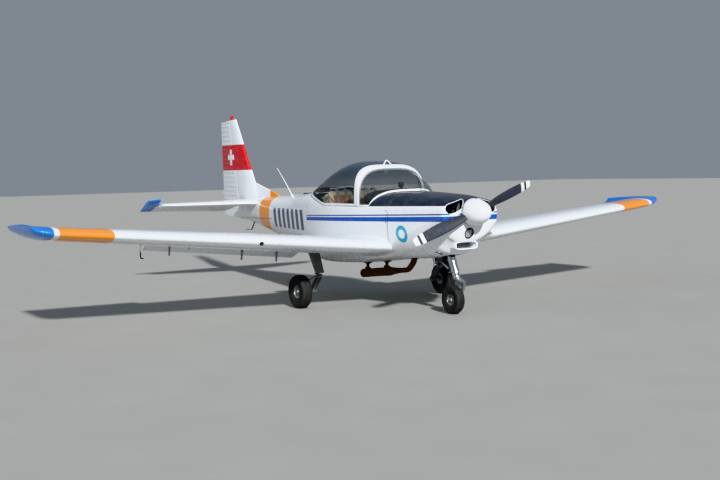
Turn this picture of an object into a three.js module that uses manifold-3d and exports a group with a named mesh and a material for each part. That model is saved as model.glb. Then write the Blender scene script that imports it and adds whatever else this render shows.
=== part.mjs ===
// A light trainer aircraft: low wing, side-by-side seats under a sliding bubble canopy, fixed nose-wheel gear.
// Millimetres, +X towards the nose, +Y to port, +Z up. The ground is Z = 0, and X = 0 is halfway along.
// Distances along the body are given as d, counted backwards from a datum 110 mm ahead of the spinner's tip.
import * as THREE from 'three';
import { mergeVertices } from 'three/addons/utils/BufferGeometryUtils.js';
import Module from 'manifold-3d';

const wasm = await Module();
wasm.setup();

// Driving dimensions
const SPINNER_TIP = 110;
const TAIL_END = 7500;
const MIDDLE = (SPINNER_TIP + TAIL_END) / 2;
const HALF_SPAN = 4875;
const JOINT_GAP = 0.4;
const HINGE_GAP = 6;

// Propeller and spinner
const HUB_HEIGHT = 1285;
const BLADE_RADIUS = 950;
const BLADE_PITCH = 1500;
const BLADE_PARKED = 20;
const BLADE_D = 375;
const SPINNER_LENGTH = 300;
const SPINNER_RADIUS = 165;
const SHAFT_RADIUS = 42;

// Body
const COWL_FRONT = 432;
const CHIN_RAKE = 0.4;
const CHIN_TOP = 1150;
const CHIN_END = 700;
const LAMP_HEIGHT = 1022;
const FIREWALL = 1460;
const COWL_SKIN = 12;
const COWL_SPLIT_HEIGHT = 1302;
const CABIN_WALL = 28;
const CABIN_FRONT = 1500;
const CABIN_BACK = 4050;
const CABIN_FLOOR = 740;
const FLOOR_SQUARENESS = 24;
const TAIL_HOLLOW_END = 6100;
const SILL_HEIGHT = 1338;
const SILL_BACK = 3028;
const CANOPY_BACK = 4060;
const CANOPY_BACK_HEIGHT = 1493.5;
const HOOP_D = 2180;
const HOOP_WIDTH = 48;
const GLASS = 7;

// Undercarriage
const MAIN_AXLE_D = 2600;
const MAIN_TRACK = 2380;
const MAIN_TYRE_RADIUS = 222.5;
const NOSE_AXLE_D = 820;
const NOSE_TYRE_RADIUS = 180;
const WHEEL_SIDES = 28;
const AXLE_RADIUS = 15;

// Colours, roughness and metalness of the finishes
const FINISHES = {
  white: [0xe9edf2, 0.28, 0],
  black: [0x171b26, 0.6, 0],
  blue: [0x0b6fd6, 0.35, 0],
  grey: [0x6c7076, 0.5, 0.4],
  steel: [0xb9bec4, 0.22, 1],
  rust: [0x3b2a22, 0.85, 0.3],
  tyre: [0x191919, 0.85, 0],
  blade: [0x2f3238, 0.4, 0.2],
  glass: [0x2c3b44, 0.08, 0],
  cream: [0xe7dcc4, 0.9, 0],
  panel: [0x202226, 0.7, 0],
  red: [0xb8160f, 0.3, 0],
  cast: [0x8a8d90, 0.55, 0.6],
};

// Body sections. Columns: d, half width, height of the widest line, top, bottom, squareness above, squareness below
const BODY = [
  [480, 420, 1240, 1448, 908, 3.2, 2.0],
  [700, 440, 1246, 1486, 775, 2.9, 2.4],
  [1000, 475, 1238, 1507, 716, 2.8, 2.9],
  [1460, 518, 1205, 1527, 665, 3.0, 3.2],
  [1940, 556, 1170, 1536, 608, 3.3, 3.4],
  [2400, 572, 1150, 1540, 558, 3.5, 3.5],
  [2900, 570, 1135, 1540, 524, 4.0, 3.5],
  [3400, 540, 1125, 1535, 508, 4.6, 3.4],
  [3800, 492, 1125, 1512, 545, 4.0, 3.2],
  [4260, 418, 1130, 1480, 630, 3.0, 3.0],
  [4700, 350, 1140, 1462, 718, 2.7, 2.8],
  [5350, 262, 1155, 1436, 845, 2.5, 2.6],
  [6070, 166, 1180, 1402, 970, 2.4, 2.5],
  [6800, 62, 1205, 1366, 1040, 2.3, 2.4],
];
// The rounded lip at the front of the cowling. Columns: d, share of the first body section
const COWL_LIP = [
  [COWL_FRONT, 0.8],
  [436, 0.88],
  [452, 0.96],
];

// Sections of the windscreen and the canopy above the sill. Columns: d, half width, top, squareness
const BUBBLE = [
  [1508, 40, 1552, 2.5],
  [1560, 98, 1574, 2.5],
  [1640, 225, 1610, 2.5],
  [1740, 351, 1654, 2.5],
  [1840, 495, 1699, 2.5],
  [1960, 536, 1758, 2.65],
  [2080, 538, 1809, 2.9],
  [HOOP_D, 539, 1868, 3.9],
  [2450, 542, 1934, 3.45],
  [2700, 546, 1935, 2.9],
  [3000, 550, 1890, 2.35],
  [3300, 520, 1788, 2.15],
  [3600, 470, 1647, 2.0],
  [3800, 353, 1576, 2.0],
  [3950, 184, 1540, 2.3],
  [CANOPY_BACK, 24, 1500, 2.5],
];

// Flying surfaces, from their inner and outer sections: out from the centre, d of the nose, chord, height of the nose,
// thickness over chord.
const WING = {
  inner: [0, 1420, 1880, 802, 0.134],
  outer: [4648, 1769, 1196, 1211, 0.131],
  camber: 0,
  tilt: THREE.MathUtils.degToRad(3.1),
};
const TAILPLANE = {
  inner: [0, 5720, 1235, 1322, 0.1],
  outer: [1835, 6310, 492, 1322, 0.1],
  camber: 0,
  tilt: 0,
};
const FIN = {
  inner: [1000, 5806, 1644, 0, 0.085],
  outer: [2760, 6895, 605, 0, 0.085],
  camber: 0,
  tilt: 0,
  upright: true,
};
// Moving surfaces. Columns: from, to, d of the hinge at the surface's inner section and at its outer one, angle at rest
const FLAP = { from: 980, to: 3190, hinge: [2924, 2726], rest: 29 };
const AILERON = { from: 3208, to: 4560, hinge: [2792, 2642], rest: 0 };
const ELEVATOR = { from: 150, to: 1835, hinge: [6520, 6520], rest: 22 };
const RUDDER = { from: 1000, to: 2760, hinge: [6664, 7122], rest: 0 };
const HORN_FROM = 1652;
const TAILPLANE_TO = 1642;

const aircraft = new THREE.Group();

function at(d) {
  return MIDDLE - d;
}

// The chin of the cowling leans back below its widest line.
function raked(d, z) {
  const share = Math.max(0, CHIN_END - d) / (CHIN_END - COWL_FRONT);
  return at(d + CHIN_RAKE * share * Math.max(0, CHIN_TOP - z));
}

// Reads a closed geometry as a solid whose faces point outwards.
function solid(geometry) {
  const bare = geometry.clone();
  bare.deleteAttribute('normal');
  bare.deleteAttribute('uv');
  const merged = mergeVertices(bare, 0.01);
  const corners = merged.index.array;
  const faces = [];
  for (let i = 0; i < corners.length; i += 3) {
    const [a, b, c] = corners.slice(i, i + 3);
    if (a !== b && b !== c && c !== a) faces.push([a, b, c]);
  }
  const build = (list) => new wasm.Manifold(new wasm.Mesh({
    numProp: 3,
    vertProperties: Float32Array.from(merged.attributes.position.array),
    triVerts: Uint32Array.from(list.flat()),
  }));
  const body = build(faces);
  return body.volume() > 0 ? body : build(faces.map(([a, b, c]) => [a, c, b]));
}

function geometryOf(body) {
  const mesh = body.getMesh();
  const geometry = new THREE.BufferGeometry();
  geometry.setAttribute('position', new THREE.BufferAttribute(Float32Array.from(mesh.vertProperties), 3));
  geometry.setIndex(Array.from(mesh.triVerts));
  geometry.computeVertexNormals();
  return geometry;
}

function add(name, body, finish, holder = aircraft) {
  const [color, roughness, metalness] = FINISHES[finish];
  const material = new THREE.MeshStandardMaterial({ color, roughness, metalness });
  if (finish === 'glass') {
    material.transparent = true;
    material.opacity = 0.4;
  }
  const mesh = new THREE.Mesh(geometryOf(body), material);
  mesh.name = name;
  holder.add(mesh);
  return mesh;
}

// Skins a row of rings, each with the same number of points, and closes both ends with a fan.
function loft(rings) {
  const count = rings[0].length;
  const points = rings.flat();
  const faces = [];
  for (let i = 0; i + 1 < rings.length; i += 1) {
    for (let j = 0; j < count; j += 1) {
      const here = i * count + j;
      const beside = i * count + ((j + 1) % count);
      faces.push([here, beside, beside + count], [here, beside + count, here + count]);
    }
  }
  for (const [start, flip] of [[0, true], [(rings.length - 1) * count, false]]) {
    const centre = new THREE.Vector3();
    rings[start / count].forEach((point) => centre.addScaledVector(point, 1 / count));
    points.push(centre);
    const middle = points.length - 1;
    for (let j = 0; j < count; j += 1) {
      const a = start + j;
      const b = start + ((j + 1) % count);
      faces.push(flip ? [middle, b, a] : [middle, a, b]);
    }
  }
  const geometry = new THREE.BufferGeometry().setFromPoints(points);
  geometry.setIndex(faces.flat());
  return solid(geometry);
}

function box(dFront, dBack, yLow, yHigh, zLow, zHigh) {
  const geometry = new THREE.BoxGeometry(dBack - dFront, yHigh - yLow, zHigh - zLow);
  geometry.translate(at((dFront + dBack) / 2), (yLow + yHigh) / 2, (zLow + zHigh) / 2);
  return solid(geometry);
}

// A round bar between two points, with its own radius at each end.
function bar(start, end, startRadius, endRadius = startRadius, sides = 16) {
  const along = new THREE.Vector3().subVectors(end, start);
  const geometry = new THREE.CylinderGeometry(endRadius, startRadius, along.length(), sides);
  geometry.translate(0, along.length() / 2, 0);
  geometry.applyQuaternion(new THREE.Quaternion().setFromUnitVectors(
    new THREE.Vector3(0, 1, 0),
    along.clone().normalize(),
  ));
  geometry.translate(start.x, start.y, start.z);
  return solid(geometry);
}

// A flat outline given as [d, z] pairs, drawn across the aircraft from one y to another.
function sidePlate(outline, yLow, yHigh) {
  const shape = new THREE.Shape(outline.map(([d, z]) => new THREE.Vector2(at(d), z)));
  const geometry = new THREE.ExtrudeGeometry(shape, { depth: yHigh - yLow, bevelEnabled: false });
  geometry.rotateX(Math.PI / 2);
  geometry.translate(0, yHigh, 0);
  return solid(geometry);
}

// A flat outline given as [y, z] pairs, drawn along the aircraft from one d to another.
function frontPlate(outline, dFront, dBack) {
  const shape = new THREE.Shape(outline.map(([y, z]) => new THREE.Vector2(y, z)));
  const geometry = new THREE.ExtrudeGeometry(shape, { depth: dBack - dFront, bevelEnabled: false });
  geometry.rotateX(Math.PI / 2);
  geometry.rotateZ(Math.PI / 2);
  geometry.translate(at(dBack), 0, 0);
  return solid(geometry);
}

// A profile of [radius, along] pairs spun about an axis through the origin.
function spun(profile, axis, sides) {
  const points = profile.map(([radius, along]) => new THREE.Vector2(radius, along));
  const geometry = new THREE.LatheGeometry(points, sides);
  geometry.rotateY(Math.PI / sides);
  geometry.applyQuaternion(new THREE.Quaternion().setFromUnitVectors(new THREE.Vector3(0, 1, 0), axis));
  return solid(geometry);
}

// Reads a table at any d, on a smooth curve through its rows.
function readTable(table, d) {
  const last = table.length - 2;
  const i = Math.min(last, Math.max(0, table.findIndex((row) => row[0] > d) - 1));
  const index = d >= table[last + 1][0] ? last : i;
  const [a, b] = [table[index], table[index + 1]];
  const before = table[Math.max(0, index - 1)];
  const after = table[Math.min(table.length - 1, index + 2)];
  const step = b[0] - a[0];
  const t = (d - a[0]) / step;
  return a.map((value, k) => {
    const leaving = ((b[k] - before[k]) / (b[0] - before[0])) * step;
    const arriving = ((after[k] - value) / (after[0] - a[0])) * step;
    return value * (1 + 2 * t) * (1 - t) ** 2 + leaving * t * (1 - t) ** 2
      + b[k] * t * t * (3 - 2 * t) - arriving * t * t * (1 - t);
  });
}

function power(value, squareness) {
  return Math.sign(value) * Math.abs(value) ** (2 / squareness);
}

// One closed body section, grown outwards by some millimetres, or shrunk when that is negative. A floor cuts it flat.
function bodyRing(d, grow = 0, floor = 0, sides = 32) {
  const [, half, wide, top, bottom, above, round] = readTable(BODY, Math.max(d, BODY[0][0]));
  const below = floor ? FLOOR_SQUARENESS : round;
  const lip = COWL_LIP.find(([lipD]) => lipD >= d);
  const share = d < BODY[0][0] && lip ? lip[1] : 1;
  const middle = (top + bottom) / 2;
  const ring = [];
  for (let i = 0; i < sides; i += 1) {
    const angle = (2 * Math.PI * (i + 0.5)) / sides;
    const across = power(Math.cos(angle), Math.sin(angle) > 0 ? above : below) * (half + grow);
    const rise = Math.sin(angle) > 0 ? top - wide + grow : wide - Math.max(bottom - grow, floor);
    const up = wide + power(Math.sin(angle), Math.sin(angle) > 0 ? above : below) * rise;
    const height = middle + (up - middle) * share;
    ring.push(new THREE.Vector3(raked(d, height), across * share, height));
  }
  return ring;
}

function bodyLoft(stations, grow = 0, floor = 0) {
  return loft(stations.map((d) => bodyRing(d, grow, floor)));
}

function stationsBetween(front, back, step) {
  const count = Math.max(1, Math.round((back - front) / step));
  return Array.from({ length: count + 1 }, (_, i) => front + ((back - front) * i) / count);
}

// The line where glass and canopy meet the body, from the windscreen's foot round the sill to the spine.
const CABIN_LINE = [
  [1508, 1536],
  [1577, 1536],
  [1650, 1532],
  [1698, 1526],
  [1743, 1515],
  [1773, 1497],
  [1804, 1468],
  [1836, 1426],
  [1860, 1394],
  [1883, 1357],
  [1895, SILL_HEIGHT],
  [SILL_BACK, SILL_HEIGHT],
  [3600, 1482],
  [3700, 1498],
  [3800, 1503],
  [3950, 1500],
  [CANOPY_BACK, CANOPY_BACK_HEIGHT],
];

function cabinRegion(low, high) {
  const front = CABIN_LINE[0];
  const back = CABIN_LINE[CABIN_LINE.length - 1];
  const lower = [[front[0] - 200, front[1] + low], ...CABIN_LINE.map(([d, z]) => [d, z + low])];
  lower.push([back[0] + 200, back[1] + low + 30]);
  const upper = lower.map(([d, z]) => [d, z - low + high]).reverse();
  return sidePlate([...lower, ...upper], -700, 700);
}

function aboveCabinLine(low) {
  return cabinRegion(low, 900);
}

const COWL_STATIONS = [...COWL_LIP.map(([d]) => d), 480, ...stationsBetween(580, FIREWALL, 176)];
const HULL_STATIONS = stationsBetween(FIREWALL, 6800, 230);

function wholeBody(grow = 0) {
  return bodyLoft([...COWL_STATIONS, ...HULL_STATIONS.slice(1)], grow);
}

function largest(body) {
  return body.decompose().sort((a, b) => b.volume() - a.volume())[0];
}

// A tapered ring cut and a box that clear everything behind a hinge line.
function hingeCutter(from, to, aft, startRadius, endRadius, endGap) {
  const along = new THREE.Vector3().subVectors(to, from).normalize();
  const start = from.clone().addScaledVector(along, -endGap);
  const end = to.clone().addScaledVector(along, endGap);
  const round = bar(start, end, startRadius, endRadius, 24);
  return round.add(alignedBox(start, end, aft, 0, 700, 700));
}

function alignedBox(from, to, aft, ahead, behind, tall) {
  const along = new THREE.Vector3().subVectors(to, from);
  const across = aft.clone().addScaledVector(along, -aft.dot(along) / along.lengthSq()).normalize();
  const up = new THREE.Vector3().crossVectors(along, across).normalize();
  const geometry = new THREE.BoxGeometry(ahead + behind, along.length(), tall);
  geometry.translate((behind - ahead) / 2, 0, 0);
  geometry.applyMatrix4(new THREE.Matrix4().makeBasis(across, along.clone().normalize(), up));
  const middle = new THREE.Vector3().addVectors(from, to).multiplyScalar(0.5);
  geometry.translate(middle.x, middle.y, middle.z);
  return solid(geometry);
}

function foilHalf(x, thick) {
  return 5 * thick * (0.2969 * Math.sqrt(x) - 0.126 * x - 0.3516 * x ** 2 + 0.2843 * x ** 3 - 0.1015 * x ** 4);
}

function foilMiddle(x, camber) {
  return 4 * camber * x * (1 - x);
}

function sectionAt(surface, out) {
  const share = (out - surface.inner[0]) / (surface.outer[0] - surface.inner[0]);
  const [, nose, chord, height, thick] = surface.inner.map((v, k) => v + (surface.outer[k] - v) * share);
  return { share, out, nose, chord, height, thick };
}

// A point of a flying surface: x is along the chord from 0 to 1, up is in chords, side is 1 to port and -1 to starboard.
function surfacePoint(surface, section, side, x, up) {
  if (surface.upright) {
    return new THREE.Vector3(at(section.nose + section.chord * x), section.chord * up, section.out);
  }
  const [c, s] = [Math.cos(surface.tilt), Math.sin(surface.tilt)];
  const back = section.chord * (x * c + up * s);
  return new THREE.Vector3(at(section.nose + back), side * section.out, section.height + section.chord * (up * c - x * s));
}

function foilRing(surface, out, side, steps = 11) {
  const section = sectionAt(surface, out);
  const ring = [];
  for (let i = -steps; i <= steps; i += 1) {
    const x = (1 - Math.cos((Math.PI * Math.abs(i)) / steps)) / 2;
    const up = foilMiddle(x, surface.camber) - Math.sign(i) * foilHalf(x, section.thick);
    ring.push(surfacePoint(surface, section, side, x, up));
  }
  return ring;
}

function hingeShare(moving, section) {
  const d = moving.hinge[0] + (moving.hinge[1] - moving.hinge[0]) * section.share;
  return (d - section.nose) / section.chord;
}

function hingePoint(surface, moving, out, side) {
  const section = sectionAt(surface, out);
  const x = hingeShare(moving, section);
  return surfacePoint(surface, section, side, x, foilMiddle(x, surface.camber));
}

function hingeRadius(surface, moving, out) {
  const section = sectionAt(surface, out);
  return foilHalf(hingeShare(moving, section), section.thick) * section.chord;
}

// The section of a moving surface: its nose is a half circle about the hinge, and its back follows the fixed section.
function movingRing(surface, moving, out, side, steps = 5, arcs = 8) {
  const section = sectionAt(surface, out);
  const hinge = hingeShare(moving, section);
  const middle = foilMiddle(hinge, surface.camber);
  const radius = foilHalf(hinge, section.thick);
  const ring = [];
  for (let i = 0; i < steps; i += 1) {
    const x = 1 - ((1 - hinge) * i) / steps;
    ring.push([x, foilMiddle(x, surface.camber) + foilHalf(x, section.thick)]);
  }
  for (let i = 0; i <= arcs; i += 1) {
    const angle = Math.PI / 2 + (Math.PI * i) / arcs;
    ring.push([hinge + radius * Math.cos(angle), middle + radius * Math.sin(angle)]);
  }
  for (let i = 1; i <= steps; i += 1) {
    const x = hinge + ((1 - hinge) * i) / steps;
    ring.push([x, foilMiddle(x, surface.camber) - foilHalf(x, section.thick)]);
  }
  return ring.map(([x, up]) => surfacePoint(surface, section, side, x, up));
}

const AFT = new THREE.Vector3(-1, 0, 0);

function hingeEnds(surface, moving, side) {
  return [hingePoint(surface, moving, moving.from, side), hingePoint(surface, moving, moving.to, side)];
}

function surfaceCutter(surface, moving, side, endGap) {
  const [from, to] = hingeEnds(surface, moving, side);
  const start = hingeRadius(surface, moving, moving.from) + HINGE_GAP;
  const end = hingeRadius(surface, moving, moving.to) + HINGE_GAP;
  return hingeCutter(from, to, AFT, start, end, endGap);
}

function movingSurface(surface, moving, side) {
  const [from, to] = hingeEnds(surface, moving, side);
  const whole = loft([moving.from - 60, moving.to + 60].map((out) => movingRing(surface, moving, out, side)));
  return whole.intersect(alignedBox(from, to, AFT, 400, 1200, 900));
}

// Turns a body about its hinge line, trailing edge down, and adds it in a group that stands on the hinge.
function addHinged(name, body, finish, [from, to], degrees) {
  const axis = new THREE.Vector3().subVectors(to, from).normalize();
  if (axis.y < 0) axis.negate();
  const holder = new THREE.Group();
  holder.position.copy(from);
  holder.quaternion.setFromAxisAngle(axis, -THREE.MathUtils.degToRad(degrees));
  aircraft.add(holder);
  const mesh = add(name, body, finish, holder);
  mesh.position.copy(from).negate();
}

function addFuselage() {
  const skin = bodyLoft(HULL_STATIONS);
  const cabinStations = stationsBetween(CABIN_FRONT, CABIN_BACK, 230);
  const lining = bodyLoft(cabinStations, -CABIN_WALL);
  const cabin = bodyLoft(cabinStations, -CABIN_WALL, CABIN_FLOOR).intersect(lining);
  const tail = bodyLoft(stationsBetween(CABIN_BACK - 20, TAIL_HOLLOW_END, 290), -CABIN_WALL);
  const [hingeLow, hingeHigh] = [ELEVATOR.hinge[0], sectionAt(TAILPLANE, 0).height];
  const tubeHole = bar(
    new THREE.Vector3(at(hingeLow), -300, hingeHigh),
    new THREE.Vector3(at(hingeLow), 300, hingeHigh),
    30,
  );
  const body = skin.subtract(cabin).subtract(tail).subtract(aboveCabinLine(0))
    .subtract(surfaceCutter(FIN, RUDDER, 1, 0)).subtract(tubeHole);
  add('fuselage', body, 'white');
}

function addCowling() {
  const hollow = [COWL_FRONT + COWL_SKIN, 480, ...stationsBetween(580, FIREWALL + 40, 184)];
  const inside = loft(hollow.map((d) => bodyRing(Math.max(d, 480), -COWL_SKIN).map((p) => {
    const share = d < 480 ? 0.9 : 1;
    const height = CHIN_TOP + (p.z - CHIN_TOP) * share;
    return new THREE.Vector3(raked(d, height), p.y * share, height);
  })));
  const inlet = [[385, 1334], [366, 1372], [330, 1392], [255, 1412], [180, 1432], [120, 1438], [140, 1345], [165, 1318],
    [220, 1294], [280, 1276], [340, 1272], [375, 1298]];
  const mirrored = inlet.map(([y, z]) => [-y, z]);
  const shaft = bar(
    new THREE.Vector3(at(380), 0, HUB_HEIGHT),
    new THREE.Vector3(at(560), 0, HUB_HEIGHT),
    SHAFT_RADIUS + 18,
    SHAFT_RADIUS + 18,
    20,
  );
  const lamp = lampBar(74, 74, 60, -130);
  const scoop = box(530, 720, -172, 172, 822, 925);
  const throat = box(500, 690, -155, 155, 838, 912);
  const outlet = box(1190, 1480, -240, 240, 560, 790);
  const strutHole = box(740, 960, -95, 95, 600, 860);
  const whole = bodyLoft(COWL_STATIONS).add(scoop).subtract(inside).subtract(throat).subtract(outlet).subtract(strutHole)
    .subtract(shaft).subtract(lamp).subtract(frontPlate(inlet, 380, 640)).subtract(frontPlate(mirrored, 380, 640));
  const seam = FIREWALL - JOINT_GAP;
  const upper = whole.intersect(box(380, seam, -700, 700, COWL_SPLIT_HEIGHT + JOINT_GAP, 1700));
  const lower = whole.intersect(box(380, seam, -700, 700, 500, COWL_SPLIT_HEIGHT));
  add('upper_cowl', upper, 'black');
  add('lower_cowl', lower, 'white');
}

// A bar through the middle of the landing lamp, square to the raked chin: its radii, and how far it reaches ahead.
function lampBar(frontRadius, backRadius, ahead, behind) {
  const centre = new THREE.Vector3(raked(COWL_FRONT, LAMP_HEIGHT), 0, LAMP_HEIGHT);
  const forward = new THREE.Vector3(1, 0, -CHIN_RAKE).normalize();
  return bar(
    centre.clone().addScaledVector(forward, ahead),
    centre.clone().addScaledVector(forward, behind),
    frontRadius,
    backRadius,
    20,
  );
}

function addEngine() {
  add('engine_block', box(680, 1340, -280, 280, 960, 1320), 'cast');
  add('landing_light', lampBar(72, 56, -4, -76), 'glass');
}

function spinnerProfile(grow) {
  const profile = [[0, -SPINNER_LENGTH]];
  profile.push([SPINNER_RADIUS + grow, -SPINNER_LENGTH]);
  const steps = 7;
  for (let i = 1; i < steps; i += 1) {
    const share = i / steps;
    profile.push([(SPINNER_RADIUS + grow) * Math.sqrt(1 - share ** 2.1), -SPINNER_LENGTH * (1 - share)]);
  }
  profile.push([0, grow]);
  return profile;
}

function addPropeller() {
  const hub = new THREE.Vector3(at(SPINNER_TIP), 0, HUB_HEIGHT);
  const forward = new THREE.Vector3(1, 0, 0);
  const group = new THREE.Group();
  group.position.copy(hub);
  aircraft.add(group);
  const shaft = bar(
    new THREE.Vector3(-SPINNER_LENGTH - 135, 0, 0),
    new THREE.Vector3(-SPINNER_LENGTH + 20, 0, 0),
    SHAFT_RADIUS,
    SHAFT_RADIUS,
    20,
  );
  add('spinner', spun(spinnerProfile(0), forward, 24).add(shaft), 'white', group);
  const clear = spun(spinnerProfile(JOINT_GAP), forward, 24);
  // Columns: radius, chord, thickness over chord
  const stations = [[120, 96, 0.5], [230, 118, 0.3], [380, 142, 0.17], [560, 148, 0.12], [740, 134, 0.1],
    [880, 112, 0.08], [BLADE_RADIUS, 84, 0.07]];
  ['prop_blade_port', 'prop_blade_starboard'].forEach((name, k) => {
    const angle = THREE.MathUtils.degToRad(BLADE_PARKED + 180 * k);
    const outward = new THREE.Vector3(0, Math.cos(angle), Math.sin(angle));
    const moving = new THREE.Vector3().crossVectors(forward, outward);
    const rings = stations.map(([radius, chord, thick]) => {
      const pitch = Math.atan(BLADE_PITCH / (2 * Math.PI * radius));
      const along = moving.clone().multiplyScalar(Math.cos(pitch)).addScaledVector(forward, Math.sin(pitch));
      const up = forward.clone().multiplyScalar(Math.cos(pitch)).addScaledVector(moving, -Math.sin(pitch));
      const ring = [];
      for (let i = 0; i < 16; i += 1) {
        const turn = (2 * Math.PI * i) / 16;
        const height = Math.sin(turn) * (Math.sin(turn) > 0 ? 0.66 : 0.34) * thick * chord;
        ring.push(outward.clone().multiplyScalar(radius).addScaledVector(forward, SPINNER_TIP - BLADE_D)
          .addScaledVector(along, (Math.cos(turn) * chord) / 2).addScaledVector(up, height));
      }
      return ring;
    });
    add(name, loft(rings).subtract(clear), 'blade', group);
  });
}

function wholeWing(side) {
  return loft([100, WING.outer[0]].map((out) => foilRing(WING, out, side, 12)));
}

// The wing with a hair's breadth more below it, to cut what is fixed to its underside.
function wingAndGap(side) {
  return wholeWing(side).add(wholeWing(side).translate([0, 0, -JOINT_GAP]));
}

function addWings() {
  const body = wholeBody(JOINT_GAP);
  for (const [label, side] of [['port', 1], ['starboard', -1]]) {
    const whole = wholeWing(side);
    const wing = whole.subtract(body).subtract(surfaceCutter(WING, FLAP, side, 8))
      .subtract(surfaceCutter(WING, AILERON, side, 8));
    add(`wing_${label}`, largest(wing), 'white');
    addHinged(`flap_${label}`, movingSurface(WING, FLAP, side), 'white', hingeEnds(WING, FLAP, side), FLAP.rest);
    addHinged(
      `aileron_${label}`,
      movingSurface(WING, AILERON, side),
      'white',
      hingeEnds(WING, AILERON, side),
      AILERON.rest,
    );
    addWingTip(label, side);
  }
}

// The tip's lower face sweeps up to a thin outer edge. Columns: out, share of the chord, share of the thickness
function addWingTip(label, side) {
  const stations = [[WING.outer[0] + JOINT_GAP, 1, 1], [4780, 0.975, 0.9], [4850, 0.93, 0.66], [HALF_SPAN, 0.89, 0.4]];
  const rings = stations.map(([out, chordShare, thickShare]) => {
    const full = sectionAt(WING, out);
    const shape = foilRing(WING, out, side, 11);
    const top = full.height + full.chord * 0.07;
    return shape.map((p) => {
      const d = at(0) - p.x;
      const moved = full.nose + full.chord * (1 - chordShare) * 0.7 + (d - full.nose) * chordShare;
      return new THREE.Vector3(at(moved), side * out, top + (p.z - top) * thickShare);
    });
  });
  add(`wing_tip_${label}`, loft(rings), 'blue');
}

function addTail() {
  const body = wholeBody(JOINT_GAP);
  const outline = [[5200, 1300], [6750, 1300], [7122, 2728], [6892, 2742], [6100, 2400], [5200, 1500]];
  const ridge = [[5335, 1442], [6212, 1656], [6420, 1707]].map(([d, top]) => [[-30, 1340], [30, 1340], [8, top], [-8, top]]
    .map(([y, z]) => new THREE.Vector3(at(d), y, z)));
  const upright = loft([1340, 2760].map((out) => foilRing(FIN, out, 1, 12)));
  const fin = upright.intersect(sidePlate(outline, -200, 200)).add(loft(ridge)).subtract(body)
    .subtract(surfaceCutter(FIN, RUDDER, 1, 100));
  add('fin', largest(fin), 'white');

  const rudderOutline = [[6500, 1022], [7520, 1097], [7520, 2710], [6880, 2743]];
  const rudder = loft([960, 2760].map((out) => movingRing(FIN, RUDDER, out, 1)))
    .intersect(sidePlate(rudderOutline, -200, 200));
  add('rudder', rudder, 'white');

  const finHalf = 61;
  let elevator = bar(
    new THREE.Vector3(at(ELEVATOR.hinge[0]), -200, TAILPLANE.inner[3]),
    new THREE.Vector3(at(ELEVATOR.hinge[0]), 200, TAILPLANE.inner[3]),
    20,
  );
  for (const [label, side] of [['port', 1], ['starboard', -1]]) {
    const whole = loft([20, TAILPLANE_TO].map((out) => foilRing(TAILPLANE, out, side, 11)));
    const plane = whole.subtract(body).subtract(box(5600, 6700, -finHalf, finHalf, 1330, 1500))
      .subtract(surfaceCutter(TAILPLANE, { ...ELEVATOR, from: 20 }, side, 30));
    add(`tailplane_${label}`, largest(plane), 'white');
    const notch = new THREE.Shape([[6610, 0], [6610, 165], [7100, 320], [7100, 0]]
      .map(([d, y]) => new THREE.Vector2(at(d), side * y)));
    const wedge = new THREE.ExtrudeGeometry(notch, { depth: 400, bevelEnabled: false });
    wedge.translate(0, 0, 1100);
    const horn = loft([HORN_FROM, TAILPLANE.outer[0]].map((out) => foilRing(TAILPLANE, out, side, 11)));
    elevator = elevator.add(movingSurface(TAILPLANE, ELEVATOR, side).subtract(solid(wedge))).add(horn);
  }
  const ends = [hingePoint(TAILPLANE, ELEVATOR, 0, 1), hingePoint(TAILPLANE, ELEVATOR, 1000, 1)];
  addHinged('elevator', elevator, 'white', ends, ELEVATOR.rest);
}

function bubbleRing(d, grow, sides = 28) {
  const [, half, top, squareness] = readTable(BUBBLE, d);
  const ring = [];
  for (let i = 0; i < sides; i += 1) {
    const angle = (2 * Math.PI * i) / sides;
    const y = power(Math.cos(angle), squareness) * (half + grow);
    const z = SILL_HEIGHT + power(Math.sin(angle), squareness) * (top - SILL_HEIGHT + grow);
    ring.push(new THREE.Vector3(at(d), y, z));
  }
  return ring;
}

function bubbleShell(stations, outer, inner) {
  const outside = loft(stations.map((d) => bubbleRing(d, outer)));
  const past = [...stations];
  past[0] -= 1;
  past[past.length - 1] += 1;
  return outside.subtract(loft(past.map((d) => bubbleRing(d, inner))));
}

function windscreenStations(back) {
  return [...BUBBLE.map(([d]) => d).filter((d) => d < back - 40), back];
}

function addWindscreen() {
  const back = HOOP_D - HOOP_WIDTH - 2;
  const glass = bubbleShell(windscreenStations(back), 0, -GLASS).intersect(aboveCabinLine(26));
  add('windscreen_glass', glass, 'glass');
  const strip = bubbleShell(windscreenStations(back + 1), 6, -16).intersect(cabinRegion(0.5, 25.5))
    .intersect(box(1000, back + 1, -700, 700, 1200, 2100));
  const hoop = bubbleShell([back + 0.4, HOOP_D - 2], 8, -28).intersect(aboveCabinLine(0.5));
  const handle = box(HOOP_D - 36, HOOP_D - 12, -100, 40, 1862, 1942);
  const grip = box(HOOP_D - 37, HOOP_D - 11, -80, 20, 1894, 1924);
  add('windscreen_frame', strip.add(hoop).add(handle.subtract(grip)), 'white');
}

function addCanopy() {
  const stations = stationsBetween(HOOP_D + HOOP_WIDTH + 3, CANOPY_BACK - 2, 166);
  const glass = bubbleShell(stations, 0, -GLASS).intersect(aboveCabinLine(36));
  add('canopy_glass', glass, 'glass');
  const rails = bubbleShell([HOOP_D + HOOP_WIDTH + 2, ...stations.slice(1)], 3, -22).intersect(cabinRegion(3, 35.6));
  const bow = bubbleShell([HOOP_D + 2, HOOP_D + HOOP_WIDTH + 2.6], 6, -28).intersect(aboveCabinLine(3));
  add('canopy_frame', rails.add(bow), 'white');
}

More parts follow.
